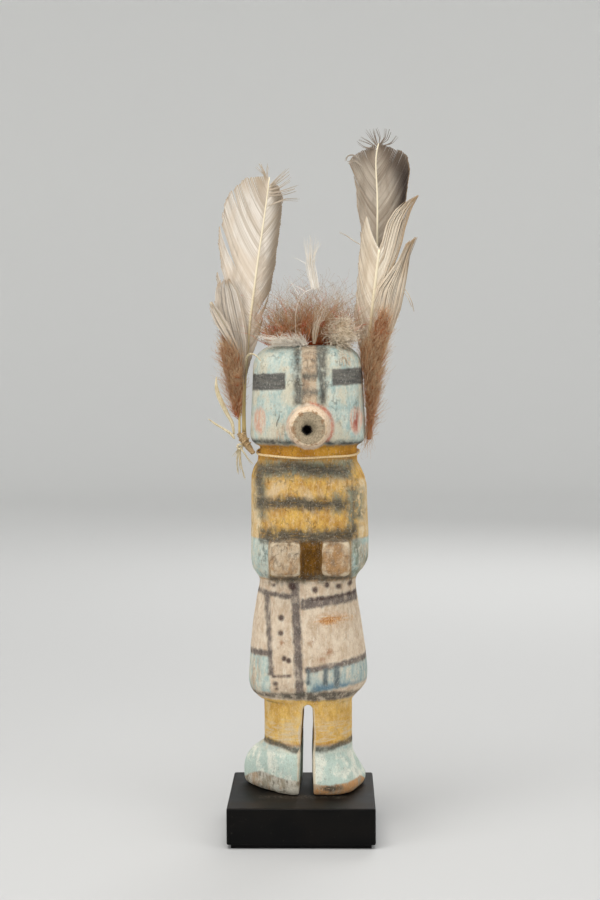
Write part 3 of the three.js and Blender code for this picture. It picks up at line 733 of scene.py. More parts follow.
def paint_arm_lines(x, y, z):
    left = upright_box(x - 0.2 * np.sin(z / 5), z, -21.4, -19.4, 114.0, 146.5)
    right = upright_box(x, z, 19.4, 21.6, 116.0, 138)
    beside = upright_box(x, z, -20.6, -18.6, 97.5, 116)
    return only(either(left, right, beside), 8 - np.abs(y))


def paint_kilt_dots(x, y, z):
    dots = [(-15.2, 93.8, 1.0), (-7.0, 93.5, 1.7), (3.1, 92.2, 1.4), (8.3, 94.2, 1.2), (13.5, 93.5, 1.3),
            (18.7, 94.2, 1.2), (-12.1, 79.7, 1.3), (-12.1, 72.8, 1.2), (-10.6, 61.6, 1.2), (-8.8, 60.9, 1.2),
            (-14.6, 50.2, 1.1), (-14.2, 47.9, 0.8)]
    tick = upright_box(x, z - 0.08 * (x + 12), -16.2, -7.8, 53.2, 54.3)
    return only(either(tick, *[oval(x, z, dx, dz, r, r) for dx, dz, r in dots]), y + 6)


def paint_kilt_greys(x, y, z):
    drop = (90 - z) / 40
    belt = only(upright_box(x, z - 0.12 * np.clip(x + 2, 0, 30), -3.0, 30, 83.5, 88.2), y)
    thin = only(upright_box(x, z + 0.11 * (x + 14), -30, -6.0, 88.6, 90.8), y)
    outer = upright_box(x - 1.9 * drop, z, -19.4, -17.2, 53.8, 89.5)
    inner = upright_box(x - 1.7 * drop, z, -7.5, -3.7, 44.4, 95.8)
    right = only(upright_box(x, z - 0.17 * (x + 1.5), -1.6, 30, 54.9, 57.6), y)
    left = only(upright_box(x, z, -30, -17.4, 62.2, 64.8), y)
    behind = only(either(np.abs(z - 90.3 - 0.015 * x) - 1.4, np.abs(z - 62.2 + 0.02 * x) - 1.3), -y)
    front = only(either(outer, inner), y + 3)
    return either(belt, thin, right, left, behind, front)


def paint_kilt_blue(x, y, z):
    right = upright_box(x, z - 0.17 * np.clip(x, -2, 30), -0.8, 40, 46.0, 55.6)
    left = upright_box(x, z, -40, -17.0, 46.0, 62.4)
    back = only(upright_box(x, z, -40, 40, 46.0, 61.4), -y)
    return either(only(right, y), only(left, y), back)


def paint_border_darks(x, y, z):
    marks = either(upright_box(x, z, 6.6, 8.8, 49.6, 57.4), upright_box(x, z, 11.2, 14.2, 48.6, 58.2),
                   upright_box(x, z, -0.6, 1.0, 50.0, 56.8))
    return only(marks, y + 6)


def paint_ankles(x, y, z):
    sag = 2.6 * np.exp(-((np.abs(x - 0.5) - 6) / 7) ** 2)
    return np.abs(z + np.where(y < 0, sag, 0) - 22.6) - 1.25


def ochre_part(x, z):
    lower_arms = only(outside(between(x, -17.0, 19.0)), between(z, 96.4, 114.8))
    return only(either(between(z, 97.6, 157.5), between(z, 22.4, 43.2)), outside(lower_arms))


def blue_part(x, y, z):
    arms = only(outside(between(x, -17.4, 19.4)), between(z, 96.8, 114.8))
    head, feet = 156.6 - z, z - 21.2
    return either(head, arms, feet, paint_kilt_blue(x, y, z))


def hand_part(x, y, z):
    left = upright_box(x, z, -17.6, -2.2, 98.0, 115.0)
    right = upright_box(x, z, 5.4, 19.4, 98.3, 115.3)
    return only(either(left, right), y + 17.5)


CHECKS = [  # x, low, high, and how far the crack wanders sideways
    (-12.5, 163, 171, 0.6), (1.6, 126, 131, 0.3),
]


def check_part(x, y, z):
    """Distance to the nearest drying crack, which narrows towards its ends."""
    nearest = np.full(len(x), 9.0)
    for line_x, low, high, wander in CHECKS:
        middle = line_x + wander * np.sin(z * 0.9 + line_x) * 0.5 + wander * np.sin(z * 0.37)
        share = np.clip((z - low) / (high - low), 0, 1)
        width = 0.16 * np.sin(share * math.pi)
        crack = np.maximum(np.abs(x - middle) - width, between(z, low, high))
        nearest = np.minimum(nearest, crack)
    return np.maximum(nearest, y)


def painted_wood():
    """Thin matt earth paints over cottonwood root, rubbed through, chipped and a little dirty, with some
    painted shade.
    """
    wood = Finish("painted_wood", roughness=0.93, specular=0.22)
    blend, lay, step, times = wood.blend, wood.lay, wood.step, wood.times
    height = wood.axis("Z")
    brushed = wood.grain(2.2, (1, 1, 1.6), detail=4, rough=0.65)
    fibres = wood.grain(0.8, (1, 1, 9), detail=4, rough=0.6, shift=2.0)
    patches = wood.grain(8, (1, 1, 1.6), detail=5, rough=0.65, shift=5.0)
    crumbs = wood.grain(0.6, (1, 1, 1.5), detail=4, rough=0.75, shift=8.0)
    level = wood.grain(1.4, (5, 5, 1), detail=4, rough=0.65, shift=21.0)
    upright = wood.grain(1.2, (1, 1, 5), detail=4, rough=0.65, shift=24.0)
    mottle = wood.grain(3.4, (1, 1, 1.8), detail=5, rough=0.7, shift=27.0)
    ragged = wood.plus(wood.centred(brushed, 1.0), wood.centred(crumbs, 0.5))

    def thin(share, mark, start, end, low=0.0, high=1.0):
        """Less of a paint where the grain carries little of it."""
        return times(share, step(mark, start, end, low, high))

    def brush(name, loose, soft, paint, *grains, strength=1.0):
        """Lays a paint where its name's distance says, its edge loose by so many millimetres."""
        edge = wood.plus(wood.attribute(name), times(ragged, loose))
        share = step(edge, soft, -soft)
        for grain in grains:
            share = thin(share, *grain)
        lay(times(share, strength), paint)

    def chips(shift, size, start, end, stretch=(1, 1, 1.8)):
        return step(wood.grain(size, stretch, detail=5, rough=0.75, shift=shift), start, end)

    wood.coat = wood.mix(fibres, (206, 174, 134), (166, 130, 94))
    # yellow ochre on the chest and the legs
    ochre = blend(mottle, 0.36, 0.64, (226, 182, 96), (192, 142, 66))
    ochre = blend(patches, 0.46, 0.66, ochre, (216, 190, 150), 0.85)
    ochre = blend(upright, 0.52, 0.74, ochre, (230, 204, 156), 0.6)
    brush("ochre", 1.6, 0.5, ochre, (crumbs, 0.20, 0.34, 0.3))
    shins = blend(mottle, 0.34, 0.62, (238, 198, 112), (214, 166, 82))
    shins = blend(patches, 0.48, 0.64, shins, (228, 202, 152), 0.7)
    shins = blend(brushed, 0.58, 0.74, shins, (234, 216, 180), 0.7)
    bottom = step(height, 0.056, 0.046)
    shins = wood.mix(thin(bottom, level, 0.44, 0.60, 0.0, 0.75), shins, (220, 198, 162))
    brush("shins", 1.2, 0.5, shins)
    brush("neck", 1.0, 0.5, blend(patches, 0.3, 0.7, (216, 160, 60), (184, 126, 40)))
    brush("arm_yellow", 1.8, 1.2, blend(mottle, 0.36, 0.62, (234, 212, 172), (216, 180, 122)))
    # cream on the kilt
    cream = blend(mottle, 0.36, 0.64, (229, 211, 187), (205, 180, 152))
    cream = blend(upright, 0.5, 0.72, cream, (236, 226, 208), 0.7)
    cream = blend(patches, 0.56, 0.76, cream, (196, 164, 130), 0.45)
    brush("cream", 1.4, 0.5, cream, (crumbs, 0.18, 0.30, 0.4))
    # pale blue on the head, the lower arms, the kilt's border and the feet
    blue = blend(mottle, 0.36, 0.62, (211, 217, 204), (171, 194, 189))
    blue = blend(patches, 0.44, 0.62, blue, (216, 208, 184), 0.85)
    blue = blend(upright, 0.54, 0.74, blue, (226, 224, 208), 0.6)
    blue = wood.mix(chips(30.0, 0.8, 0.58, 0.68), blue, (190, 172, 142))
    brush("blue", 1.8, 0.8, blue, (crumbs, 0.18, 0.32, 0.3))
    feet = step(height, 0.0385, 0.0355)
    lay(thin(feet, mottle, 0.34, 0.52, 0.0, 0.95), (238, 239, 223))
    lay(times(feet, chips(44.0, 0.7, 0.63, 0.68)), (92, 86, 74))
    lay(thin(feet, patches, 0.44, 0.56, 0.0, 0.75), (176, 200, 190))
    lay(times(feet, chips(33.0, 0.8, 0.60, 0.67)), (150, 136, 116))
    border = blend(upright, 0.38, 0.62, (190, 198, 188), (144, 168, 170))
    border = blend(mottle, 0.46, 0.60, border, (210, 204, 186))
    pooled = thin(step(height, 0.0702, 0.0672), patches, 0.36, 0.50)
    border = wood.mix(pooled, border, (84, 122, 142))
    scuffed = thin(step(height, 0.0682, 0.0655), mottle, 0.56, 0.62)
    border = wood.mix(scuffed, border, (206, 160, 126))
    brush("border_blue", 2.0, 1.0, border, strength=0.9)
    brush("worn_blue", 3.0, 1.5, blend(mottle, 0.4, 0.6, (222, 206, 180), (190, 158, 126)),
          (upright, 0.42, 0.58, 0.1, 0.85))
    tan = blend(mottle, 0.36, 0.62, (206, 184, 156), (176, 146, 116))
    tan = blend(crumbs, 0.52, 0.64, tan, (226, 212, 190))
    brush("tan", 1.8, 0.8, tan, (crumbs, 0.2, 0.4))
    hands = blend(patches, 0.40, 0.62, (206, 186, 158), (176, 136, 92))
    hands = blend(brushed, 0.46, 0.70, hands, (132, 114, 94), 0.7)
    hands = blend(level, 0.56, 0.70, hands, (104, 92, 78), 0.6)
    brush("hands", 1.2, 0.5, hands)
    # painted shade: the recess between the fists in a darker ochre
    brush("recess", 1.2, 0.5, blend(upright, 0.3, 0.7, (156, 108, 34), (102, 70, 25)))
    brush("kilt_stain", 5.5, 1.6, blend(crumbs, 0.4, 0.6, (214, 164, 108), (180, 118, 66)),
          (level, 0.34, 0.56))
    brush("kilt_rust", 3.0, 1.0, (164, 112, 74), (mottle, 0.4, 0.56), strength=0.7)
    # reds
    faint = blend(upright, 0.36, 0.62, (222, 194, 170), (212, 164, 140))
    brush("left_cheek", 1.4, 0.8, faint, (upright, 0.30, 0.55, 0.2))
    rose = blend(upright, 0.36, 0.66, (238, 216, 196), (226, 180, 156))
    brush("right_cheek", 1.4, 0.8, rose, (upright, 0.30, 0.54, 0.25))
    brush("cheek_core", 2.2, 1.0, (164, 84, 68), (upright, 0.34, 0.52, 0.2))
    ring = blend(mottle, 0.46, 0.66, (232, 217, 196), (220, 190, 166))
    brush("snout_ring", 1.2, 0.5, ring, (crumbs, 0.2, 0.38))
    brush("ring_red", 1.8, 0.8, (204, 122, 98), (crumbs, 0.3, 0.5))
    # greys and blacks, brushed on thinly, and painted shade under the hands, along the hem and under the chin
    grey = blend(brushed, 0.3, 0.7, (98, 89, 84), (132, 119, 110))
    brush("greys", 2.4, 0.8, grey, (mottle, 0.28, 0.52, 0.50, 0.97), (crumbs, 0.22, 0.36, 0.5))
    slate = blend(brushed, 0.3, 0.7, (88, 98, 100), (132, 140, 138))
    brush("border_darks", 1.8, 0.8, slate, (mottle, 0.26, 0.5, 0.3))
    smudge = blend(mottle, 0.4, 0.6, (104, 104, 88), (140, 148, 128))
    brush("smudges", 5.0, 2.2, smudge, (brushed, 0.36, 0.56, 0.0, 0.92))
    soot = blend(level, 0.38, 0.70, (62, 59, 54), (120, 110, 90))
    brush("bands", 6.0, 2.0, soot, (level, 0.26, 0.50, 0.50, 0.97), (mottle, 0.24, 0.44, 0.45))
    char = blend(upright, 0.35, 0.70, (66, 65, 62), (124, 120, 108))
    brush("lines", 5.0, 1.8, char, (mottle, 0.30, 0.50, 0.35, 0.95), (crumbs, 0.24, 0.40, 0.4))
    brush("faint_lines", 3.0, 1.2, (96, 90, 78), (mottle, 0.42, 0.60, 0.1, 0.8), (level, 0.3, 0.5, 0.4))
    brush("dots", 1.6, 0.7, (74, 54, 50), strength=0.92)
    eyes = blend(level, 0.30, 0.70, (84, 84, 82), (122, 119, 111))
    brush("eyes", 1.6, 0.6, eyes, (crumbs, 0.22, 0.36, 0.45))
    brush("ankles", 2.2, 0.8, (94, 90, 78), (mottle, 0.3, 0.55, 0.5, 0.95))
    # partly painted shade: a dark grey band round the kilt's underside bevel, partly a painted line, widest
    # right of the middle
    brush("hem", 2.4, 1.0, (98, 92, 82), (mottle, 0.34, 0.56, 0.3, 0.95))
    brush("chin_shade", 3.0, 1.2, (70, 70, 66), (mottle, 0.3, 0.56, 0.4, 0.97))
    # rubbed edges
    rubbed = step(wood.plus(wood.attribute("edge"), wood.centred(mottle, 0.12)), 0.07, 0.13)
    lay(times(rubbed, 0.75), (224, 206, 176))
    # worn toes: grey end grain on the left foot, orange wood on the right
    left_toe = blend(mottle, 0.40, 0.58, (212, 206, 190), (166, 156, 136))
    left_toe = blend(brushed, 0.50, 0.64, left_toe, (106, 100, 86), 0.7)
    left_toe = blend(patches, 0.50, 0.62, left_toe, (186, 150, 112), 0.6)
    brush("left_toe", 1.8, 0.5, left_toe, (mottle, 0.2, 0.42, 0.5))
    brush("toe_white", 2.0, 0.8, (216, 210, 194), strength=0.8)
    right_toe = blend(mottle, 0.40, 0.62, (212, 158, 104), (180, 164, 140))
    brush("right_toe", 1.8, 0.5, right_toe, (mottle, 0.2, 0.42, 0.6))
    brush("toe_black", 2.2, 0.8, (84, 80, 70), (crumbs, 0.3, 0.5))
    # scraped specks, darker brown in the hollows, painted shade over the top of the head, light and dark
    # crumbs, fine cracks
    lay(times(chips(12.0, 1.3, 0.66, 0.72), 0.6), (214, 196, 166))
    lay(times(chips(15.0, 1.0, 0.62, 0.72, (1, 1, 3.0)), 0.55), (104, 84, 62))
    lay(times(chips(18.0, 0.5, 0.66, 0.72), 0.6), (74, 64, 54))
    # darker brown in the hollows
    lay(times(step(wood.attribute("edge"), -0.04, -0.16), 0.55), (84, 66, 44))
    cracked = thin(step(wood.attribute("checks"), 0.20, -0.05), mottle, 0.36, 0.5)
    lay(times(cracked, 0.5), (110, 90, 70))
    # painted shade: the top of the head darkened towards the crown, where the feathers and fur shade it
    lay(step(height, 0.2095, 0.2205, 0.0, 0.32), (96, 92, 80))
    lay(step(crumbs, 0.46, 0.30, 0.0, 0.30), (255, 250, 236))
    lay(step(crumbs, 0.54, 0.70, 0.0, 0.28), (60, 50, 40))
    webbing = wood.grain(4.2, (1, 1, 1.7), detail=3.5, rough=0.6, shift=36.0)
    line = step(maths(wood.tree, "ABSOLUTE", wood.centred(webbing, 1.0)), 0.016, 0.004)
    crackle = thin(line, wood.grain(9, detail=2, shift=39.0), 0.48, 0.60)
    crackle = thin(crackle, height, 0.116, 0.126)
    lay(times(crackle, 0.30), (98, 82, 62))
    wood.paint()
    ridges = times(fibres, 0.5)
    for mark, depth in ((crumbs, 0.55), (crackle, -0.5), (mottle, 0.6), (cracked, -1.0)):
        ridges = wood.plus(ridges, times(mark, depth))
    wood.relief(ridges, 1.0, 1.0)
    return wood


def make_carving():
    mesh, points, normals = carved_wood()
    x, y, z = points.T
    edges = neighbours(mesh)
    blurred = spread_out(points, edges, len(points), 6)
    hump = spread_out(((points - blurred) * normals).sum(axis=1), edges, len(points), 2)
    belt_rise = 0.12 * np.clip(x + 2, 0, 30)
    border_rise = 0.17 * np.clip(x, -2, 30)
    hem_sag = 1.4 * np.exp(-((x - 6) / 13) ** 2)
    chin_sag = 0.8 * np.exp(-((x - 1) / 8) ** 2)
    from_snout = np.hypot(x - 0.8, z - 164.8)
    worn = either(upright_box(x, z, -26, -21.5, 46, 62), upright_box(x, z, 23, 32, 98, 112),
                  upright_box(x, z, 14, 20, 191, 201), upright_box(x, z, -15, -10, 158, 166))
    stains = either(oval(x, z, 9, 78.6, 4.6, 2.4), oval(x, z, 14, 79.4, 4.0, 1.5))
    rusts = either(oval(x, z, 2.6, 69, 2.0, 1.6), oval(x, z, 9, 64.5, 2.4, 1.4),
                   oval(x, z, 6, 61.5, 1.6, 1.0), oval(x, z, -12, 68, 1.2, 1.4))
    bands = {
        "ochre": ochre_part(x, z),
        "neck": between(z, 149.6, 157.2),
        "arm_yellow": only(outside(between(x, -20.8, 22.4)), between(z, 114.8, 141)),
        "cream": between(z, 42.6, 96.0),
        "blue": blue_part(x, y, z),
        "tan": only(upright_box(x, z, -2.6, 4.4, 172.4, 201.5), y + 4),
        "worn_blue": only(worn, y),
        "hands": hand_part(x, y, z),
        "recess": only(upright_box(x, z, -3.6, 6.9, 96.5, 114.5), y + 10),
        "kilt_stain": only(stains, y + 6),
        "kilt_rust": only(rusts, y + 6),
        "shins": between(z, 23.4, 43.0),
        "left_cheek": only(oval(x, z, -21.2, 167.3, 2.6, 5.6), y + 2),
        "right_cheek": only(oval(x, z, 21.6, 167.7, 2.9, 5.8), y + 2),
        "cheek_core": only(oval(x, z, 21.2, 167.0, 1.2, 4.2), y + 2),
        "snout_ring": only(np.abs(from_snout - 9.6) - 0.6, y + 12),
        "ring_red": only(np.abs(from_snout - 10.4) - 0.6, 1.5 - x, 158 - z, y + 12),
        "greys": paint_kilt_greys(x, y, z),
        "border_blue": only(upright_box(x, z - border_rise, 1.5, 40, 46.0, 55.6), y),
        "border_darks": paint_border_darks(x, y, z),
        "smudges": paint_smudges(x, y, z),
        "bands": paint_dark_bands(x, y, z),
        "lines": paint_centre_blacks(x, y, z),
        "faint_lines": either(paint_centre_smears(x, y, z), paint_arm_lines(x, y, z)),
        "dots": either(paint_kilt_dots(x, y, z), only(np.abs(z - belt_rise - 87.2) - 0.5, 2 - x, y + 3)),
        "eyes": paint_eyes(x, y, z),
        "ankles": paint_ankles(x, y, z),
        "hem": np.abs(z - 44.6) - 1.0 - hem_sag,
        "chin_shade": only(np.abs(z - 157.6 + 0.02 * x) - 1.0 + chin_sag, y + 4),
        "left_toe": only(z - 6.6 + 0.11 * (x + 4) + 0.5 * np.clip(y + 8, 0, 40), x + 1.0),
        "toe_white": only(oval(x, z, -6.0, 1.8, 4.6, 2.6), y - 2),
        "right_toe": only(z - 4.6 - 0.10 * np.abs(x - 9) + 0.4 * np.clip(y + 6, 0, 40), 1.0 - x),
        "toe_black": only(oval(x, z, 10.5, 3.4, 4.6, 1.2), y - 2),
        "edge": hump,
        "checks": check_part(x, y, z),
    }
    for name, values in bands.items():
        set_attribute(mesh, name, values)
    piece("carving", mesh, painted_wood(), stands_for=("figure",))


# ---------------------------------------------------------------- snout


def twig_end():
    """Cut twig: rays and rings on its end grain, a painted rim, near-black in and round the pith hole."""
    twig = Finish("twig_end", roughness=0.92, specular=0.2)
    fibres = twig.grain(0.7, (1, 2.0, 1), detail=5, rough=0.7)
    speckle = twig.grain(1.1, detail=5, rough=0.7, shift=4.0)

    def ragged(mark, size):
        return twig.plus(mark, twig.centred(speckle, size))

    radius = twig.attribute("radius")
    end = twig.blend(fibres, 0.38, 0.70, (176, 160, 134), (124, 110, 88))
    end = twig.blend(ragged(radius, 3.0), 4.6, 2.4, end, (112, 102, 82), 0.75)
    rim = twig.blend(speckle, 0.35, 0.65, (232, 214, 188), (204, 176, 142))
    side = twig.blend(speckle, 0.40, 0.66, (228, 208, 182), (206, 172, 142))
    twig.coat = twig.blend(ragged(radius, 1.0), 6.9, 7.4, end, rim)
    scorched = twig.times(twig.step(ragged(radius, 3.0), 5.4, 7.0, 0.0, 0.7),
                          twig.step(twig.grain(3.0, detail=4, shift=14.0), 0.46, 0.58))
    twig.lay(scorched, (142, 100, 64))
    twig.lay(twig.step(twig.attribute("out"), 6.7, 6.2), side)
    # near-black in and round the pith hole
    twig.lay(twig.step(ragged(twig.attribute("pith"), 1.8), 2.7, 1.9), (22, 18, 15))
    specks = twig.step(twig.grain(0.9, detail=4, rough=0.75, shift=9.0), 0.62, 0.70)
    twig.lay(twig.times(specks, 0.5), (84, 74, 62))
    twig.paint()
    twig.relief(twig.plus(fibres, twig.times(speckle, 0.6)), 0.35, 0.9)
    return twig


def make_snout():
    """A turned-looking stub, whittled round its rim, with a hole where its pith was."""
    middle, front = np.array((0.9, 164.6)), -20.0
    profile = [(9.3, -2.6), (9.25, 0.2), (9.15, 1.6), (9.0, 3.0), (8.75, 4.3), (8.45, 5.4), (8.15, 6.2),
               (7.85, 6.75), (7.4, 7.0), (6.3, 6.95), (5.0, 6.9), (4.0, 6.9), (3.0, 6.85), (2.3, 6.75),
               (1.9, 6.4), (1.7, 5.4), (1.6, 4.2), (1.3, 3.0), (0.7, 2.5)]
    pith = np.array((-0.9, -0.8))
    around = 72
    points, radii, outs, piths = [], [], [], []

    def add(ring_x, ring_z, out, radius):
        points.append((middle[0] + ring_x, front - out, middle[1] + ring_z))
        radii.append(radius)
        outs.append(out)
        piths.append(math.hypot(ring_x - pith[0], ring_z - pith[1]))

    add(0, 0, profile[0][1], 9)
    for radius, out in profile:
        inward = float(np.clip((3.6 - radius) / 1.8, 0, 1))
        for step in range(around):
            angle = math.tau * step / around
            wobble = noise.noise(Vector((3 * math.cos(angle), 3 * math.sin(angle), out * 0.15)))
            chip = noise.noise(Vector((9 * math.cos(angle), 9 * math.sin(angle), out * 0.8 + 5)))
            reach = radius * (1 + 0.022 * wobble + 0.014 * chip)
            if radius < 2.5:
                reach = radius * (1 + 0.16 * wobble + 0.1 * chip)
            depth = out + (0.16 * chip if 2.5 < radius < 7.2 else 0.06 * wobble)
            add(reach * math.cos(angle) + pith[0] * inward, reach * math.sin(angle) + pith[1] * inward,
                depth, radius)
    add(pith[0], pith[1], 2.4, 0.0)
    mesh = mesh_from(place(points), ring_faces(len(profile), around))
    set_attribute(mesh, "radius", radii)
    set_attribute(mesh, "out", outs)
    set_attribute(mesh, "pith", piths)
    piece("snout_twig", facing_out(mesh), twig_end(), stands_for=("snout",))


# ---------------------------------------------------------------- strings and plant fibre


def plain_fibre(name, light, dark, size=0.6):
    fibre = Finish(name, roughness=0.9, specular=0.25, sheen=0.1)
    streaks = fibre.grain(size, (1, 1, 3), detail=4, rough=0.7)
    spots = fibre.grain(3.0, detail=3, shift=3.0)
    fibre.coat = fibre.blend(streaks, 0.3, 0.72, light, dark)
    fibre.lay(fibre.step(spots, 0.62, 0.78, 0.0, 0.5), (150, 116, 74))
    fibre.paint()
    fibre.relief(streaks, 0.12, 0.7)
    return fibre


def neck_line(count=160):
    """The string's middle line, lying in the neck and a little lower in front."""
    turns = np.linspace(0, math.tau, count, endpoint=False)
    wide, deep, square = 22.3, np.where(np.sin(turns) < 0, 17.6, 17.3), 2.5
    reach = ((np.abs(np.cos(turns)) / wide) ** square + (np.abs(np.sin(turns)) / deep) ** square)
    reach = reach ** (-1 / square) + 0.62 + 0.12 * np.sin(turns * 7)
    height = 152.6 + 1.6 * np.sin(turns) + 0.16 * np.sin(turns * 5 + 1)
    return np.column_stack((reach * np.cos(turns), reach * np.sin(turns), height))


def make_neck_string(cord):
    finish = plain_fibre("cotton_string", (238, 214, 168), (212, 178, 122), 0.5)
    mesh = grown(rows_mesh([neck_line()], [1.0], closed=True), cord, finish,
                 Plies=3, Winding=0.27, Ply=0.30, Pitch=3.4, Step=0.42, Sides=6)
    piece("neck_cord", mesh, None, stands_for=("neck_string",))


set_camera()
set_studio()

make_base()
make_carving()
make_snout()
CORD = cord_tree()
make_neck_string(CORD)


# ---------------------------------------------------------------- feathers

LEFT_SHAFT = [(161.2, -28.6, -3.8), (168, -28.9, -1.5), (176, -28.9, 1), (190, -28.2, 2.6),
              (210, -26.2, 3), (238, -22.5, 3.2), (260, -19.1, 3.4), (270, -17.7, 3.6), (276, -17.0, 3.6)]
LEFT_OUTER = [(190, -30.2), (196, -32.6), (203, -36.0), (211, -39.0), (219, -41.0), (226, -41.4),
              (233, -40.0), (240, -39.6), (247, -40.4), (254, -39.4), (262, -38.0), (268, -35.9),
              (272.5, -32.0), (275.4, -27.8), (276.9, -23.0), (276.6, -18.6)]
LEFT_INNER = [(188, -27.4), (198, -24.6), (206, -21.9), (214, -20.2), (222, -17.8), (230, -16.0),
              (238, -14.6), (246, -13.6), (254, -12.6), (262, -11.6), (267, -11.2), (271.5, -13.0),
              (274.6, -15.2)]
SMALL_SHAFT = [(161.2, -30.6, -5.8), (170, -30.7, -4.4), (182, -30.2, -2.2), (191, -29.7, -1.4),
               (203, -33.4, -1), (213, -39.0, -1), (220, -43.6, -1.2)]
BACK_SHAFT = [(172, 27.6, 5.6), (185, 27.8, 5.8), (203, 29.4, 6), (225, 31.3, 6.1), (250, 31.5, 6.1),
              (268, 31.6, 6), (286, 30.4, 5.6), (291, 32.0, 5.4)]
BACK_OUTER = [(196, 29.8), (206, 32.2), (218, 35.2), (230, 38.0), (242, 40.4), (254, 42.6), (262, 43.8),
              (270, 44.9), (277, 46.0), (282, 46.2), (285.6, 44.9), (287.6, 42.2), (288.8, 38.6), (290, 35.2),
              (290.8, 32.8)]
BACK_INNER = [(196, 27.6), (206, 26.4), (218, 25.4), (230, 24.6), (242, 24.3), (254, 24.2), (262, 22.6),
              (270, 22.2), (277, 21.2), (282.6, 18.8), (285.0, 20.2), (286.9, 23.4),
              (288.8, 27.0), (290.4, 30.4)]
FRONT_SHAFT = [(170, 27.2, 2.6), (185, 27.2, 2.2), (199, 27.3, 1.8), (216, 28.9, 1.4), (230, 30.6, 1.3),
               (243.2, 32.2, 1.3)]
FRONT_INNER = [(190, 25.4), (198, 23.8), (205, 22.2), (212, 21.1), (218, 21.5), (226, 22.3), (234, 22.9),
               (241, 23.4), (247, 23.8), (252, 24.3), (256, 25.4), (258.6, 26.7)]
# Height, left edge and right edge of lobes whose barbs lie along them
LEFT_LOWER_LOBE = [(188, -30.0, -28.4), (196, -33.5, -27.4), (203.3, -37.0, -27.0), (207, -38.5, -27.5),
                   (211.4, -40.1, -28.2), (217, -41.4, -29.3), (221, -41.7, -30.3), (225.5, -41.7, -31.6),
                   (228.5, -40.6, -33.2), (230.9, -38.6, -35.8)]
SMALL_LOBE = [(190, -30.5, -29.0), (196.5, -32.6, -30.1), (203, -36.6, -32.4), (210, -41.2, -35.4),
              (216.5, -43.8, -39.6), (220.6, -44.7, -43.2)]
LOWER_LOBE = [(190, 26.8, 32.0), (198, 26.9, 34.8), (205, 27.4, 37.2), (211, 28.0, 39.8), (216, 28.6, 41.6),
              (225, 30.0, 43.4), (232, 36.0, 44.4), (238, 40.4, 45.0), (242, 42.6, 46.0), (246, 44.2, 48.0),
              (248.8, 47.6, 48.8)]
UPPER_LOBE = [(218, 29.2, 31.0), (226, 30.2, 34.2), (234, 31.2, 37.6), (241, 32.4, 41.2), (248, 34.0, 43.2),
              (255, 35.9, 44.8), (261, 39.8, 47.0), (265, 44.4, 48.8), (267.8, 49.2, 50.0)]


# Stray barbs, each by a few of its points
LEFT_STRAYS = [[(-17.6, 3.6, 275), (-19.6, 3.2, 278), (-20.7, 3, 281.6)],
               [(-17.4, 3.6, 274.5), (-18.2, 3.2, 278), (-17.6, 3, 281.2)],
               [(-17.5, 3.6, 274), (-19.6, 3.6, 278), (-22.3, 3.6, 281.0)],
               [(-17.2, 3.6, 272), (-13, 3, 275.6), (-9.1, 2.6, 278.9)],
               [(-17.2, 3.6, 271), (-12.4, 3, 274.2), (-8.6, 2.6, 277.4)],
               [(-17.3, 3.6, 270), (-11.8, 3, 271.6), (-7.3, 2.4, 274.9)],
               [(-17.3, 3.6, 268.6), (-11.0, 3, 269.6), (-4.6, 2.2, 271.3)],
               [(-17.4, 3.6, 267.6), (-11.0, 3, 268.2), (-5.2, 2.2, 270.2)],
               [(-17.8, 3.6, 263), (-10.0, 3, 265.8), (-3.7, 2.4, 265.5)]]
BACK_STRAYS = [[(31.6, 5.4, 289.5), (29, 5, 293), (27.0, 5, 296.2)],
               [(31.8, 5.4, 290), (30.4, 5, 293.4), (29.6, 5, 297.0)],
               [(31.4, 5.4, 289), (27.4, 5, 291.6), (23.6, 5, 293.4)],
               [(32.2, 5.4, 290.4), (33, 5, 293.6), (31.6, 5, 297.2)],
               [(32.4, 5.4, 290.4), (35, 5, 293.0), (35.4, 5, 297.0)],
               [(32.4, 5.4, 290.2), (36.2, 5, 292.4), (37.8, 5, 296.4)],
               [(32.6, 5.4, 289.6), (37.6, 5, 291.0), (40.0, 5, 294.4)],
               [(31.0, 5.4, 288.6), (25.4, 5, 288.8), (22.0, 5, 291.0)]]
BACK_HOOK = [[(23.4, 5.6, 284), (20.4, 4.8, 286.0), (17.6, 4.0, 285.2), (17.0, 3.6, 283.2)],
             [(24.4, 5.6, 281), (21.0, 4.8, 283.4), (18.4, 4.0, 282.2)]]
FRONT_STRAYS = [[(23.6, 1.2, 245.6), (20.4, 0.4, 247.4), (17.6, -0.4, 249.6), (14.6, -1, 250.9)],
                [(43.0, 0.6, 226.5), (45.4, 0, 223), (46.9, 0, 219), (47.4, 0, 215.5)],
                [(42.8, 0.6, 224.5), (45.0, 0, 221.6), (46.6, 0, 217.5)]]


def on_path(rows, height, column):
    """Reads a table that starts with heights."""
    table = np.array(rows)
    return np.interp(height, table[:, 0], table[:, column])


def on_shaft(shaft, height):
    height = np.asarray(height, dtype=float)
    return np.column_stack((on_path(shaft, height, 1), on_path(shaft, height, 2), height))


def along_edge(edge, share):
    """Points at shares of an edge's length, as x and z."""
    table = np.array(edge)[:, ::-1]
    length = np.concatenate(([0], np.cumsum(np.hypot(*np.diff(table, axis=0).T))))
    at = np.asarray(share) * length[-1]
    return np.column_stack((np.interp(at, length, table[:, 0]), np.interp(at, length, table[:, 1])))


def clumped(count, size, rng):
    """A value for each barb that neighbours in a clump share, from -1 to 1."""
    knots = rng.uniform(-1, 1, int(count / size) + 3)
    seats = np.cumsum(rng.uniform(0.4, 1.6, len(knots)))
    seats *= count / seats[-2]
    steps = np.searchsorted(seats, np.arange(count))
    return knots[np.clip(steps, 0, len(knots) - 1)]


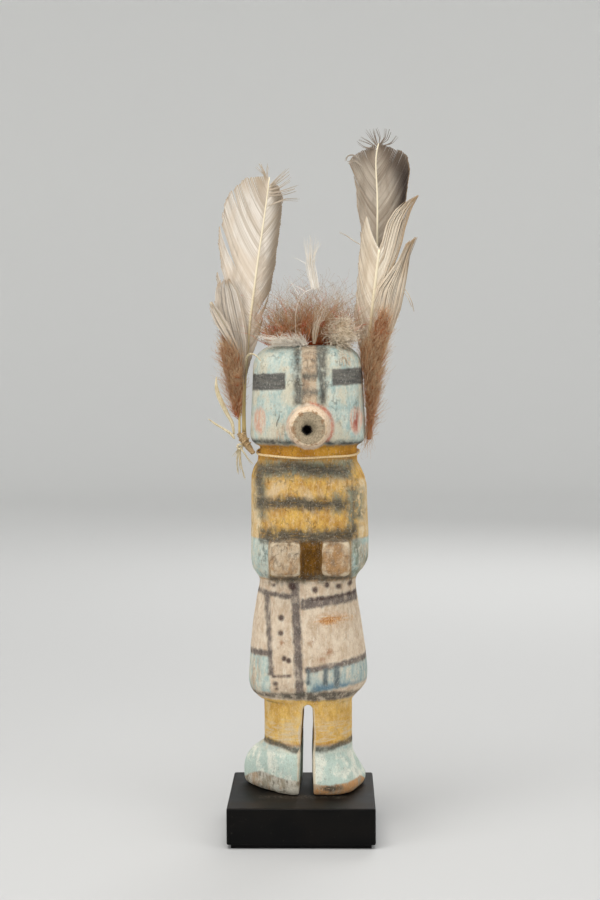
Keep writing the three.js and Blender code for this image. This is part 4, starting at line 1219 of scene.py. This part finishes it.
def vane(shaft, edge, low, *, count, seed, rise, width, fray, slits=(), curl=1.0):
    """One side of a feather: barbs that leave the shaft, bend towards its tip and end on the edge."""
    rng = np.random.default_rng(seed)
    share = (np.arange(count) + 0.5) / count
    ends = along_edge(edge, share)
    reach = np.abs(ends[:, 0] - on_path(shaft, ends[:, 1], 1))
    heights = np.maximum(ends[:, 1] - rise * reach, low + 8 * share)
    roots = on_shaft(shaft, np.minimum(np.maximum.accumulate(heights), shaft[-1][0]))
    loose = clumped(count, 9, rng)
    looser = clumped(count, 3, rng)
    lines, thick, tones = [], [], []
    for i in range(count):
        root, end = roots[i], np.array((ends[i][0], 0.0, ends[i][1]))
        out = end[[0, 2]] - root[[0, 2]]
        length = math.hypot(*out)
        side = 1.0 if end[0] > root[0] else -1.0
        end[0] += 0.35 * fray * loose[i] * side + rng.normal(0, 0.10) * fray
        end[2] += 0.45 * fray * loose[i] + 0.2 * fray * looser[i] + rng.normal(0, 0.12) * fray
        end[1] = root[1] + curl * 0.0035 * length ** 2 + 0.22 * loose[i]
        s = np.linspace(0, 1, 9)[:, None]
        bulge = np.array((side * out[1], 0.0, -side * out[0])) * 0.05
        line = root + (end - root) * s + bulge * (4 * s * (1 - s)) * (1 - 0.35 * s)
        across = np.array((-side * out[1], 0.0, side * out[0])) / length
        for seat, opening, spread, middle in slits:
            away = share[i] - seat
            swell = np.exp(-((s - middle) / 0.26) ** 2) * math.exp(-abs(away) / spread)
            line += across * math.copysign(opening, away) * swell
        line[:, 1] += 0.10 * math.sin(i * 2.1) * s[:, 0]
        lines.append(line)
        thick.append(width * 0.5 * (1.15 - 0.42 * s[:, 0] ** 3) * rng.uniform(0.92, 1.1) * MM)
        tones.append(0.58 + 0.17 * loose[i] + 0.14 * looser[i] + rng.uniform(-0.14, 0.14))
    return lines, thick, tones


def lobe(shaft, rows, low, high, *, depth, count, seed, width=0.5, edge_from=2.0, fray=1.0):
    """Barbs that have come away together: they leave the shaft one above another, side by side."""
    rng = np.random.default_rng(seed)
    top = rows[-1][0]
    loose = clumped(count, 6, rng)
    lines, thick, tones = [], [], []
    for i in range(count):
        across = (i + 0.5) / count
        rank = 1 - across
        root_height = low + (high - low) * rank
        root = on_shaft(shaft, [root_height])[0]
        end_height = top - (rng.uniform(0, 3.0) + 3.0 * (0.5 - 0.5 * loose[i])) * fray * (0.2 + 0.8 * rank)
        s = np.linspace(0, 1, 10)
        heights = root_height + (end_height - root_height) * s
        left, right = on_path(rows, heights, 1), on_path(rows, heights, 2)
        side = left + (right - left) * across
        settle = np.clip(s / 0.22, 0, 1) ** 0.8
        x = root[0] + (side - root[0]) * settle + 0.5 * fray * loose[i] * s
        y = root[1] + (depth - root[1]) * s + 0.75 * loose[i] * s + 0.1 * math.sin(i * 1.7)
        lines.append(np.column_stack((x, y, heights)))
        thick.append(width * 0.5 * (1.2 - 0.8 * s ** 3) * rng.uniform(0.92, 1.12) * MM)
        # partly painted shade: barbs past edge_from, where the lobe's edge rolls over, get a darker tone
        rolled_edge_darkening = 0.5 if across > edge_from else 0.0
        tones.append(0.58 + 0.24 * loose[i] + rng.uniform(-0.14, 0.14) - rolled_edge_darkening)
    return lines, thick, tones


def loose_barbs(rows, width=0.16, tone=0.6):
    """Barbs laid one by one, each given by its points, smoothed."""
    lines, thick, tones = [], [], []
    for row in rows:
        guide = np.array(row, dtype=float)
        s = np.linspace(0, 1, 12)
        seat = np.linspace(0, 1, len(guide))
        soft = np.column_stack([np.interp(s, seat, guide[:, column]) for column in range(3)])
        lines.append(softened(soft, 2))
        thick.append(width * (1 - 0.7 * s) * MM)
        tones.append(tone)
    return lines, thick, tones


def frayed(rows, copies, jitter, seed):
    """Each of the rows several times over, parting towards its end."""
    rng = np.random.default_rng(seed)
    parted = []
    for row in rows:
        for _ in range(copies):
            away = rng.uniform(-jitter, jitter, 3)
            parted.append([tuple(np.array(point) + away * (k / (len(row) - 1)) ** 0.8)
                           for k, point in enumerate(row)])
    return parted


def gathered(*bundles):
    lines, thick, tones = [], [], []
    for bundle in bundles:
        lines += bundle[0]
        thick += bundle[1]
        tones += bundle[2]
    return lines, thick, tones


QUILL_TONE = 2.0  # above a barb's tones, so that a quill can be told from them


def round_shaft(rows, start, end):
    """A quill: horn-smooth, oval, tapering to its tip."""
    line = softened(on_shaft(rows, np.linspace(rows[0][0], rows[-1][0], 40)), 4)
    s = np.linspace(0, 1, len(line))
    around = 10
    points, shares = [tuple(line[0])], [0.0]
    for i, (x, y, z) in enumerate(line):
        size = start + (end - start) * s[i] ** 0.8
        for step in range(around):
            angle = math.tau * step / around
            points.append((x + size * math.cos(angle), y + 0.8 * size * math.sin(angle), z))
            shares.append(s[i])
    points.append(tuple(line[-1]))
    shares.append(1.0)
    mesh = mesh_from(place(points), ring_faces(len(line), around))
    set_attribute(mesh, "share", shares)
    set_attribute(mesh, "tone", QUILL_TONE)
    return facing_out(mesh)


def feather_finish(name, pale, warm, shade, edge=None, tip=None, base=(142, 118, 92)):
    """Barbs in a few near tones, darker along one edge, at the tip and near the quill's foot; the edge is
    partly brown barbs and partly painted shade where they curl back, the foot partly painted shade from the
    fur.
    """
    barb = Finish(name, roughness=0.72, specular=0.3, sheen=0.15)
    step, times = barb.step, barb.times
    tone, share = barb.attribute("tone"), barb.attribute("share")
    across, height = barb.axis("X"), barb.axis("Z")
    barb.coat = barb.blend(tone, 0.15, 0.9, shade, pale)
    barb.lay(step(barb.grain(7, (1, 1, 2), detail=3), 0.42, 0.66, 0.0, 0.7), warm)
    barb.lay(step(barb.grain(4, (1, 1, 4), detail=4, shift=3.0), 0.50, 0.68, 0, 0.5), shade)
    # partly painted shade: along one edge, where the barbs curl back, they are darker and browner
    if edge is not None:
        dark, first, last = edge
        barb.lay(times(step(share, 0.20, 0.85), step(across, first, last)), dark)
        barb.lay(step(share, 0.95, 1.0, 0.0, 0.6), (178, 146, 106))
    if tip is not None:
        dark, first, last = tip
        barb.lay(times(step(height, first, last), step(share, 0.2, 0.8, 0.5)), dark)
    # partly painted shade: the barbs browner low down, where the fur round the quills shades them
    foot = step(height, (DOLL[2] + 216) * MM, (DOLL[2] + 182) * MM)
    barb.lay(times(foot, 0.8), base)
    horn = barb.blend(height, 0.19, 0.26, (196, 172, 118), (232, 220, 192))
    barb.lay(step(tone, QUILL_TONE - 0.6, QUILL_TONE - 0.4), horn)
    # partly painted shade: the lowest tones, on the rolled lobe edges, turn brown
    barb.lay(step(tone, -0.05, -0.2), (150, 124, 92))
    barb.paint()
    barb.relief(barb.grain(0.4, detail=2), 0.03, 0.4)
    return barb


def grown_barbs(bundle, barbs, finish, tones=None, **inputs):
    """Barbs or fibres from their lines, thicknesses and tones."""
    lines, thick, own = bundle
    return grown(rows_mesh(lines, thick, own if tones is None else tones), barbs, finish, **inputs)


def make_feather(name, bundle, shaft_mesh, barbs, finish, stands_for):
    vanes = grown_barbs(bundle, barbs, finish, Flatness=0.28, Wave=0.25, Wave_Size=6.0, Seed=3.0)
    shaft_mesh.materials.append(finish.material)
    piece(name, joined([vanes, shaft_mesh]), None, stands_for=(stands_for,))


def make_feathers(barbs):
    white = feather_finish("white_feather", (238, 230, 219), (216, 200, 180), (186, 170, 150),
                           edge=((160, 144, 124), -0.021, -0.015), tip=((196, 176, 150), 0.282, 0.300))
    grey = feather_finish("grey_feather", (192, 179, 162), (166, 150, 132), (130, 115, 98),
                          edge=((50, 37, 27), 0.032, 0.043), tip=((118, 100, 82), 0.292, 0.312))
    cream = feather_finish("cream_feather", (238, 229, 213), (226, 211, 188), (190, 170, 144),
                           edge=((176, 150, 118), 0.042, 0.053), base=(202, 172, 134))

    left = gathered(
        vane(LEFT_SHAFT, LEFT_OUTER, 172, count=360, seed=21, rise=1.7, width=0.44, fray=1.2,
             slits=((0.66, 0.9, 0.035, 0.80), (0.46, 1.3, 0.04, 0.95), (0.32, 1.0, 0.04, 0.9),
                    (0.24, 0.8, 0.03, 1.0), (0.83, 0.5, 0.03, 1.0))),
        vane(LEFT_SHAFT, LEFT_INNER, 170, count=320, seed=22, rise=1.9, curl=3.2, width=0.44, fray=0.8,
             slits=((0.42, 0.8, 0.03, 0.6), (0.30, 0.5, 0.03, 0.9))),
        lobe(LEFT_SHAFT, LEFT_LOWER_LOBE, 178, 196, depth=1.3, count=110, seed=23, edge_from=0.93,
             fray=0.8),
        loose_barbs(frayed(LEFT_STRAYS, 4, 1.0, 81), width=0.2, tone=0.15))
    make_feather("left_white_feather", left, round_shaft(LEFT_SHAFT, 0.95, 0.28), barbs, white,
                 "feather_left_main")

    small = lobe(SMALL_SHAFT, SMALL_LOBE, 176, 200, depth=-1.1, count=96, seed=31, width=0.42)
    make_feather("left_small_feather", small, round_shaft(SMALL_SHAFT, 0.6, 0.25), barbs, white,
                 "feather_left_small")

    back = gathered(
        vane(BACK_SHAFT, BACK_OUTER, 178, count=330, seed=41, rise=1.7, fray=0.5, width=0.46,
             slits=((0.60, 0.35, 0.03, 0.7),)),
        vane(BACK_SHAFT, BACK_INNER, 178, count=300, seed=42, rise=1.9, curl=0.8, fray=0.5, width=0.46,
             slits=((0.80, 0.5, 0.03, 0.95), (0.55, 0.4, 0.02, 0.9))),
        loose_barbs(frayed(BACK_STRAYS, 4, 1.0, 82), width=0.18, tone=0.0),
        loose_barbs(frayed(BACK_HOOK, 6, 0.8, 84), width=0.26, tone=0.9))
    make_feather("right_grey_feather", back, round_shaft(BACK_SHAFT, 0.9, 0.3), barbs, grey,
                 "feather_right_back")

    front = gathered(
        vane(FRONT_SHAFT, FRONT_INNER, 172, count=250, seed=51, rise=2.4, fray=0.7, width=0.42),
        lobe(FRONT_SHAFT, LOWER_LOBE, 176, 222, depth=0.4, count=180, seed=52, edge_from=0.95, width=0.44),
        lobe(FRONT_SHAFT, UPPER_LOBE, 205, 242.6, depth=2.4, count=130, seed=53, edge_from=0.92, width=0.40),
        loose_barbs(frayed(FRONT_STRAYS, 2, 0.5, 83), width=0.2, tone=0.2))
    make_feather("right_cream_feather", front, round_shaft(FRONT_SHAFT, 0.9, 0.55), barbs, cream,
                 "feather_right_front")


# ---------------------------------------------------------------- fur and down


def fur_finish(name, root, middle, tip, spot=None, glow=None):
    """Hair coloured from its root to its tip, each hair a little off its neighbours."""
    fur = Finish(name, roughness=0.9, specular=0.08)
    step, times = fur.step, fur.times
    share, tone = fur.attribute("share"), fur.attribute("tone")
    fur.coat = fur.blend(share, 0.05, 0.5, root, middle)
    fur.lay(step(share, 0.4, 1.0), tip)
    if glow is not None:
        near = times(step(fur.grain(7.0, detail=2, shift=9.0), 0.46, 0.60), step(share, 0.9, 0.4))
        fur.lay(times(near, 0.85), glow)
    fur.lay(step(tone, 0.66, 0.98, 0.0, 0.7), (212, 194, 166))
    fur.lay(step(tone, 0.16, 0.0, 0.0, 0.5), (104, 78, 56))
    if spot is not None:
        fur.lay(times(step(fur.grain(4.0, detail=2, shift=6.0), 0.60, 0.68), 0.8), spot)
    fur.paint()
    return fur


def patch(height_at, middle_x, middle_y, half_x, half_y):
    """A fan of faces over an oval that hairs grow from."""
    rings, count = 5, 24
    points = [(middle_x, middle_y, height_at(middle_x, middle_y))]
    for ring in range(1, rings + 1):
        for side in range(count):
            angle = math.tau * side / count
            x = middle_x + half_x * math.cos(angle)
            y = middle_y + half_y * math.sin(angle)
            share = ring / rings
            x, y = middle_x + (x - middle_x) * share, middle_y + (y - middle_y) * share
            points.append((x, y, height_at(x, y)))
    faces = []
    for side in range(count):
        faces.append((0, 1 + side, 1 + (side + 1) % count))
        for ring in range(rings - 1):
            a = 1 + ring * count + side
            b = 1 + ring * count + (side + 1) % count
            faces.append((a, a + count, b + count, b))
    return mesh_from(place(points), faces)


def dome(x, y):
    """The crown's rounded top, as far as hairs stand on it."""
    return 200.9 - 0.004 * x * x - 0.006 * y * y


def level_at(height):
    return lambda x, y: height


def sprays(count, rng, low, at):
    """Rows of points for barbs that lean, spread and end each at a height of their own."""
    rows = []
    for _ in range(count):
        lean, spread, top = rng.uniform(-1, 1), rng.uniform(-1, 1), rng.uniform(low, 1.0)
        rows.append(at(lean, spread, top))
    return rows


PLUME_STEM = [(3.2, -9, 226.6), (2.4, -9.6, 225.2), (-0.6, -10.4, 225.0), (-3.6, -11.2, 221.8),
              (-5.4, -12, 216), (-5.6, -12.4, 209), (-5.2, -12.2, 205)]
PLUME_STRAYS = [[(-0.4, -9, 236.5), (-3.2, -9, 238.2), (-6.2, -9, 239.6)],
                [(2.6, -9, 240), (4.8, -9, 243.6), (6.6, -9, 245.6)],
                [(-3.8, -10.8, 223), (-6, -10.6, 226.2), (-7.4, -10.4, 229.6)],
                [(-1.2, -10.4, 224.5), (-4.2, -10, 226.6), (-7.0, -9.8, 228.4)]]


def make_crown_hair(fur):
    rust = fur_finish("rust_fur", (196, 80, 36), (182, 138, 94), (176, 154, 126),
                      spot=(206, 66, 40), glow=(210, 118, 62))
    curly = {"Aim": (0, 0, 0.9), "Middle": tuple(place((0, 1.5, 200))), "Fan": 22.0}
    undercoat = grown(patch(dome, -0.5, 1.0, 17.0, 10), fur, rust, **curly, Density=3.4e6, Shortest=5,
                      Longest=22, Scatter=0.7, Wave=13.0, Wave_Size=8, Curl=1.6, Turns=1.2,
                      Thickness=0.10, Steps=9, Seed=5)
    middling = grown(patch(dome, 2.0, 1.5, 14.5, 8), fur, rust, **curly, Density=1.9e6, Shortest=15,
                     Longest=31, Scatter=0.55, Wave=18.0, Wave_Size=10, Curl=2.6, Turns=1.8,
                     Thickness=0.07, Steps=14, Seed=6)
    guard = grown(patch(dome, 0, 1, 16, 8), fur, rust, **curly, Density=0.22e6, Shortest=26,
                  Longest=36, Scatter=0.3, Wave=18.0, Wave_Size=12, Curl=3.0, Turns=1.7, Droop=3,
                  Thickness=0.085, Steps=16, Seed=7)
    piece("crown_hair", joined([undercoat, middling, guard]), None, stands_for=("crown_fur",))


def make_white_tuft(fur, white):
    middle = tuple(place((-2, -9, 200)))
    tuft = grown(patch(level_at(200.9), -6.4, -11.5, 6.6, 1.8), fur, white, Density=22e6, Shortest=2,
                 Longest=8.0, Aim=(-0.5, -0.35, 0.42), Middle=middle, Fan=45.0, Scatter=0.6, Wave=5.0,
                 Wave_Size=4, Curl=0.6, Turns=0.8, Droop=0.6, Thickness=0.12, Steps=7, Seed=8)
    whiskers = grown(patch(level_at(202.2), -11, -11.5, 2.0, 1.4), fur, white, Density=5e6, Shortest=6,
                     Longest=12, Aim=(-1.0, -0.15, 0.32), Middle=middle, Fan=10.0, Scatter=0.24,
                     Wave=3.0, Wave_Size=6, Droop=1.0, Thickness=0.12, Steps=7, Seed=9)
    piece("white_tuft", joined([tuft, whiskers]), None, stands_for=("crown_down_left",))


def make_cotton_ball(fur):
    cotton = fur_finish("cotton_ball", (206, 186, 156), (228, 212, 188), (238, 226, 206))
    sphere = bmesh.new()
    bmesh.ops.create_icosphere(sphere, subdivisions=3, radius=1.0)
    for vert in sphere.verts:
        at = vert.co
        size = Vector((4.6, 3.6, 4.8)) * (1 + 0.16 * noise.noise(at * 2.2))
        vert.co = Vector(place((15.2 + at.x * size.x, -8.4 + at.y * size.y, 206.0 + at.z * size.z)))
    ball = mesh_of(sphere, "ball")
    fluff = grown(ball.copy(), fur, cotton, Density=2.6e6, Shortest=2.5, Longest=6.5, Aim=(0, 0, 0),
                  Middle=tuple(place((15.2, -8.6, 206))), Fan=90.0, Scatter=1.2, Wave=6.0,
                  Wave_Size=3.0, Curl=1.7, Turns=1.2, Thickness=0.13, Steps=12, Seed=11)
    ball = fur_coloured(ball, cotton, 0.3, 0.4)
    piece("cotton_ball", joined([fluff, ball]), None, stands_for=("crown_down_right",))


def make_wisp_and_plume(barbs, white):
    drab = fur_finish("drab_down", (196, 176, 150), (214, 200, 178), (220, 208, 190))
    rng = np.random.default_rng(71)
    rows = sprays(30, rng, 0.72, lambda lean, spread, top: [
        (3.0 + 0.5 * lean, -12.6 + 0.5 * spread, 201.2),
        (3.5 + 1.3 * lean, -13.0 + 1.2 * spread, 201.4 + 6 * top),
        (4.8 + 2.2 * lean, -13.0 + 1.8 * spread, 201.4 + 12 * top),
        (6.8 + 3.4 * lean, -12.6 + 2.2 * spread, 201.4 + 17.5 * top)])
    wisp = grown_barbs(loose_barbs(rows, width=0.12), barbs, drab, rng.uniform(0.3, 0.9, len(rows)),
                       Flatness=0.8, Wave=7.0, Wave_Size=4.6, Seed=2.0)
    piece("white_wisp", wisp, None, stands_for=("crown_wisp",))

    rows = sprays(44, rng, 0.50, lambda lean, spread, top: [
        (3.6 + 1.9 * lean, -9 + 0.5 * spread, 225.6 + 0.8 * rng.uniform(-1, 1)),
        (2.6 + 1.9 * lean, -9 + 0.5 * spread, 225.6 + 7 * top),
        (1.2 + 1.7 * lean, -9 + 0.6 * spread, 225.6 + 15 * top),
        (1.8 + 3.4 * lean, -9 + 1.2 * spread, 225.6 + 23.4 * top)])
    rows += PLUME_STRAYS
    plume = grown_barbs(loose_barbs(rows, width=0.15), barbs, white, rng.uniform(0.4, 0.9, len(rows)),
                        Flatness=0.7, Wave=2.2, Wave_Size=4.0, Seed=4.0)
    stem = grown_barbs(loose_barbs([PLUME_STEM], width=0.2), barbs, white,
                       Flatness=1.0, Wave=1.5, Wave_Size=6, Seed=4.0)
    piece("white_plume", joined([plume, stem]), None, stands_for=("crown_plume",))


def lock_core(node_name, depth):
    """A lock's own shape, drawn in by a depth."""
    shape = welded(node_name)
    shape.normal_update()
    for vert in shape.verts:
        vert.co -= vert.normal * depth
    return mesh_of(shape, "core")


def strip(rows):
    """A narrow upright patch from a table of height, left, right and depth."""
    points = []
    for z, left, right, y in rows:
        points += [(left, y, z), (right, y, z)]
    faces = [(2 * i, 2 * i + 1, 2 * i + 3, 2 * i + 2) for i in range(len(rows) - 1)]
    return mesh_from(place(points), faces)


# Height, left edge, right edge and depth of the strips that fuzz stands on
LEFT_FUZZ = [(168, -32.4, -30.6, -5.2), (174, -34.0, -30.0, -5.0), (182, -35.8, -29.4, -4.0),
             (190, -37.2, -30.2, -2.6), (197, -38.6, -33.4, -1.6)]
RIGHT_FUZZ = [(161, 26.9, 27.8, -5.6), (170, 26.2, 29.4, -6.2), (180, 25.2, 31.0, -6.6),
              (190, 24.2, 32.4, -6.2), (198, 23.6, 33.4, -5.0)]


def make_side_down(fur):
    rust = fur_finish("side_down", (190, 100, 58), (198, 140, 94), (206, 178, 142))
    for side, name, rows, middle_x, lean, spots in (
            ("left", "down_left", LEFT_FUZZ, -32.5, -0.22,
             ((-31.5, -6.5, 182.5, 2.2), (-31.0, -6.5, 186, 1.4))),
            ("right", "down_right", RIGHT_FUZZ, 29.5, 0.22,
             ((31.0, -7.0, 186.5, 2.0), (29.2, -7.0, 181.0, 1.6)))):
        fuzz = {"Middle": tuple(place((middle_x, 2, 150))), "Curl": 0.8, "Wave": 6.0, "Wave_Size": 4,
                "Thickness": 0.085}
        upward = {"Aim": (lean, -0.14, 0.85), "Fan": 3.0}
        parts = [
            grown(lock_core(name, 1.4 * MM), fur, rust, **fuzz, **upward, Density=3.0e6, Shortest=3,
                  Longest=8, Scatter=0.6, Turns=0.9, Steps=7, Seed=14),
            grown(strip(rows), fur, rust, **fuzz, **upward, Density=9e6, Shortest=4, Longest=11,
                  Scatter=0.5, Turns=1.0, Steps=8, Seed=18)]
        if side == "right":
            parts.append(grown(strip(rows[:2]), fur, rust, **fuzz, Aim=(-0.1, 0, -0.8), Fan=0.0,
                               Density=4e6, Shortest=6, Longest=14, Scatter=0.22, Turns=0.8, Steps=9,
                               Seed=19))
        for k, (x, y, z, size) in enumerate(spots):
            spot = patch(level_at(z), x, y, size * 0.5, 1.5)
            parts.append(grown(spot, fur, rust, **fuzz, **upward, Density=30e6, Shortest=2, Longest=5,
                               Scatter=0.8, Turns=0.8, Steps=6, Seed=30 + k))
        parts.append(fur_coloured(lock_core(name, 2.0 * MM), rust, 0.1, 0.3))
        piece(side + "_rust_down", joined(parts), None, stands_for=(name,))


# ---------------------------------------------------------------- the tied bundle


def flat_strip(rows, fold, seed):
    """A split strip of plant fibre: thin, folded a little along its length, its edges frayed."""
    table = np.array(rows, dtype=float)
    heights = np.linspace(table[0, 0], table[-1, 0], 26)
    left, right, back = (softened(np.interp(heights, table[:, 0], table[:, column]), 2)
                         for column in (1, 2, 3))
    across, half_thickness = 6, 0.35 / 2
    points = []
    for i, z in enumerate(heights):
        ring = []
        for step in range(across + 1):
            share = step / across
            x = left[i] + (right[i] - left[i]) * share
            x += 0.10 * noise.noise(Vector((step * 3.1, z * 0.6, seed)))
            y = back[i] + fold * abs(share - 0.5) * (right[i] - left[i])
            ring.append((x, y, z))
        points += [(x, y - half_thickness, z) for x, y, z in ring]
        points += [(x, y + half_thickness, z) for x, y, z in reversed(ring)]
    around = 2 * (across + 1)
    ends = [tuple(reversed(range(around))), tuple(range(len(points) - around, len(points)))]
    return facing_out(mesh_from(place(points), band_faces(len(heights), around) + ends))


# Height, left edge, right edge and depth of the two strips
LONG_STRIP = [(160.8, -33.6, -32.7, -5.4), (166, -34.6, -33.0, -5.6), (170, -37.2, -35.2, -5.8),
              (175, -39.7, -37.4, -6), (179.5, -41.4, -39.4, -6), (183, -41.7, -40.4, -6),
              (186.6, -41.0, -40.5, -6)]
SHORT_STRIP = [(158.8, -33.3, -32.6, -6.6), (160.8, -35.0, -33.0, -6.8), (163, -38.0, -36.2, -7),
               (165.4, -42.0, -40.3, -7.2), (167.9, -44.7, -44.2, -7.4)]
QUILLS = [(-29.8, -4.9, 161.4), (-28.6, -5.4, 158), (-26.9, -6.4, 155.6), (-24.3, -8.2, 152.4)]
KNOT = (-30.4, -6.4, 155.2)
STRING_ENDS = [[KNOT, (-31.4, -6.8, 151), (-31.9, -7, 146.5), (-31.2, -7.2, 143.4)],
               [KNOT, (-30.4, -7.4, 150), (-29.6, -7.8, 145.5), (-28.5, -8, 141.4)],
               [KNOT, (-28.4, -9, 152.4), (-26.4, -10, 149.8), (-24.6, -10.8, 147.6)],
               [KNOT, (-31.6, -6.2, 153.5), (-32.7, -6, 150.6)],
               [(-30.6, -6.4, 155.0), (-30.9, -6.9, 149.6), (-30.4, -7.2, 144.6)]]
ARCH = [(-28.1, 0.6, 190.2), (-27.9, -4, 194.2), (-26.8, -9, 196.8), (-24.6, -13.4, 197.3),
        (-22.4, -16, 196.2), (-20.7, -16.7, 194.1)]


def make_strips(fibre):
    for name, rows, fold, seed, stands_for in (
            ("long_strip", LONG_STRIP, 0.45, 1.0, "strip_long"),
            ("short_strip", SHORT_STRIP, 0.3, 2.0, "strip_short")):
        piece(name, flat_strip(rows, fold, seed), fibre, stands_for=(stands_for,))


def make_bound_quills(cord, barbs, twine):
    """The quills' foot, wound close with twine and once more over it with a wider turn."""
    s = np.linspace(0, 1, 30)
    guide = np.array(QUILLS)
    seats = np.linspace(0, 1, len(QUILLS))
    line = softened(np.column_stack([np.interp(s, seats, guide[:, k]) for k in range(3)]), 12)
    thickest = 1.95
    width = thickest - 1.1 * s ** 1.4
    winding = grown(rows_mesh([line], [width / thickest]), cord, twine,
                    Plies=1, Winding=thickest, Ply=0.34, Pitch=0.72, Step=0.12, Sides=6)
    core = grown(rows_mesh([line], [width * 0.97 * MM]), barbs, twine, Flatness=1.0, Wave=0.0, Seed=1.0)
    second = line[6:20] + np.array((0.2, -0.25, 0))
    over = grown(rows_mesh([second], [width[6:20] / 1.7]), cord, twine,
                 Plies=1, Winding=2.15, Ply=0.26, Pitch=2.9, Step=0.2, Sides=6)
    piece("bound_quills", joined([winding, core, over]), None, stands_for=("binding_left",))


def make_string_ends(cord, barbs, fibre):
    rng = np.random.default_rng(83)
    rows = []
    for end in STRING_ENDS:
        for _ in range(5):
            shift = rng.normal(0, 0.28, 3)
            splay = rng.normal(0, 0.55, 3)
            rows.append([tuple(np.array(point) + shift * 0.6 + splay * (i / (len(end) - 1)) ** 2)
                         for i, point in enumerate(end)])
    loose = grown_barbs(loose_barbs(rows, width=0.24), barbs, fibre,
                        Flatness=0.9, Wave=1.2, Wave_Size=5, Seed=7.0)
    knot_line = [(-30.4 + 1.1 * math.cos(a), -6.4 - 0.9 * math.sin(a * 0.5), 155.3 + 1.1 * math.sin(a))
                 for a in np.linspace(0, math.tau * 1.6, 30)]
    knot = grown(rows_mesh([knot_line], [1.0]), cord, fibre,
                 Plies=2, Winding=0.24, Ply=0.27, Pitch=1.4, Step=0.25, Sides=6)
    piece("frayed_ends", joined([loose, knot]), None, stands_for=("string_ends",))


def make_arched_fibre(barbs, fibre):
    lines, _, tones = loose_barbs([ARCH, [(x + 0.3, y + 0.2, z - 0.35) for x, y, z in ARCH]])
    even = [0.30 * MM] * len(lines)
    loop = grown_barbs((lines, even, tones), barbs, fibre, Flatness=0.9, Wave=0.3, Wave_Size=5, Seed=2.0)
    piece("arched_fibre", loop, None, stands_for=("loop_left",))


BARBS = barb_tree()
FUR = fur_tree()
make_feathers(BARBS)

make_crown_hair(FUR)
WHITE = fur_finish("white_down", (250, 245, 236), (246, 240, 230), (236, 228, 214))
make_white_tuft(FUR, WHITE)
make_cotton_ball(FUR)
make_wisp_and_plume(BARBS, WHITE)
make_side_down(FUR)

FIBRE = plain_fibre("plant_fibre", (226, 214, 184), (188, 170, 130))
TWINE = plain_fibre("binding_twine", (206, 180, 138), (150, 116, 74), 0.4)
make_strips(FIBRE)
make_bound_quills(CORD, BARBS, TWINE)
make_string_ends(CORD, BARBS, FIBRE)
make_arched_fibre(BARBS, FIBRE)


def make_floor():
    """A pale floor that turns up into a wall far off, all the way round."""
    finish = Finish("pale_floor", roughness=0.95, specular=0.1)
    # painted light: paler outwards and palest on the wall, so that the far wall looks as bright as the lit
    # floor
    flat = vectors(finish.tree, "MULTIPLY", finish.where, (1, 1, 0))
    away = node(finish.tree, "ShaderNodeVectorMath", {0: flat}, operation="LENGTH").outputs["Value"]
    finish.paint(finish.blend(away, 0.25, 1.7, (196, 196, 195), (247, 247, 245)))
    profile = [(0.3, 0.0), (1.7, 0.0)]
    profile += [(1.7 + 0.5 * math.sin(a), 0.5 - 0.5 * math.cos(a)) for a in np.linspace(0.1, math.pi / 2, 12)]
    profile += [(2.2, 1.9)]
    around = 96
    points = [(0, 0, 0)]
    for radius, height in profile:
        for side in range(around):
            angle = math.tau * side / around
            points.append((radius * math.cos(angle), radius * math.sin(angle), height))
    faces = [(0, 1 + side, 1 + (side + 1) % around) for side in range(around)]
    faces += [face[::-1] for face in band_faces(len(profile), around, 1)]
    mesh = mesh_from(points, faces)
    mesh.materials.append(finish.material)
    for polygon in mesh.polygons:
        polygon.use_smooth = True
    floor = bpy.data.objects.new("floor", mesh)
    bpy.context.collection.objects.link(floor)


make_floor()
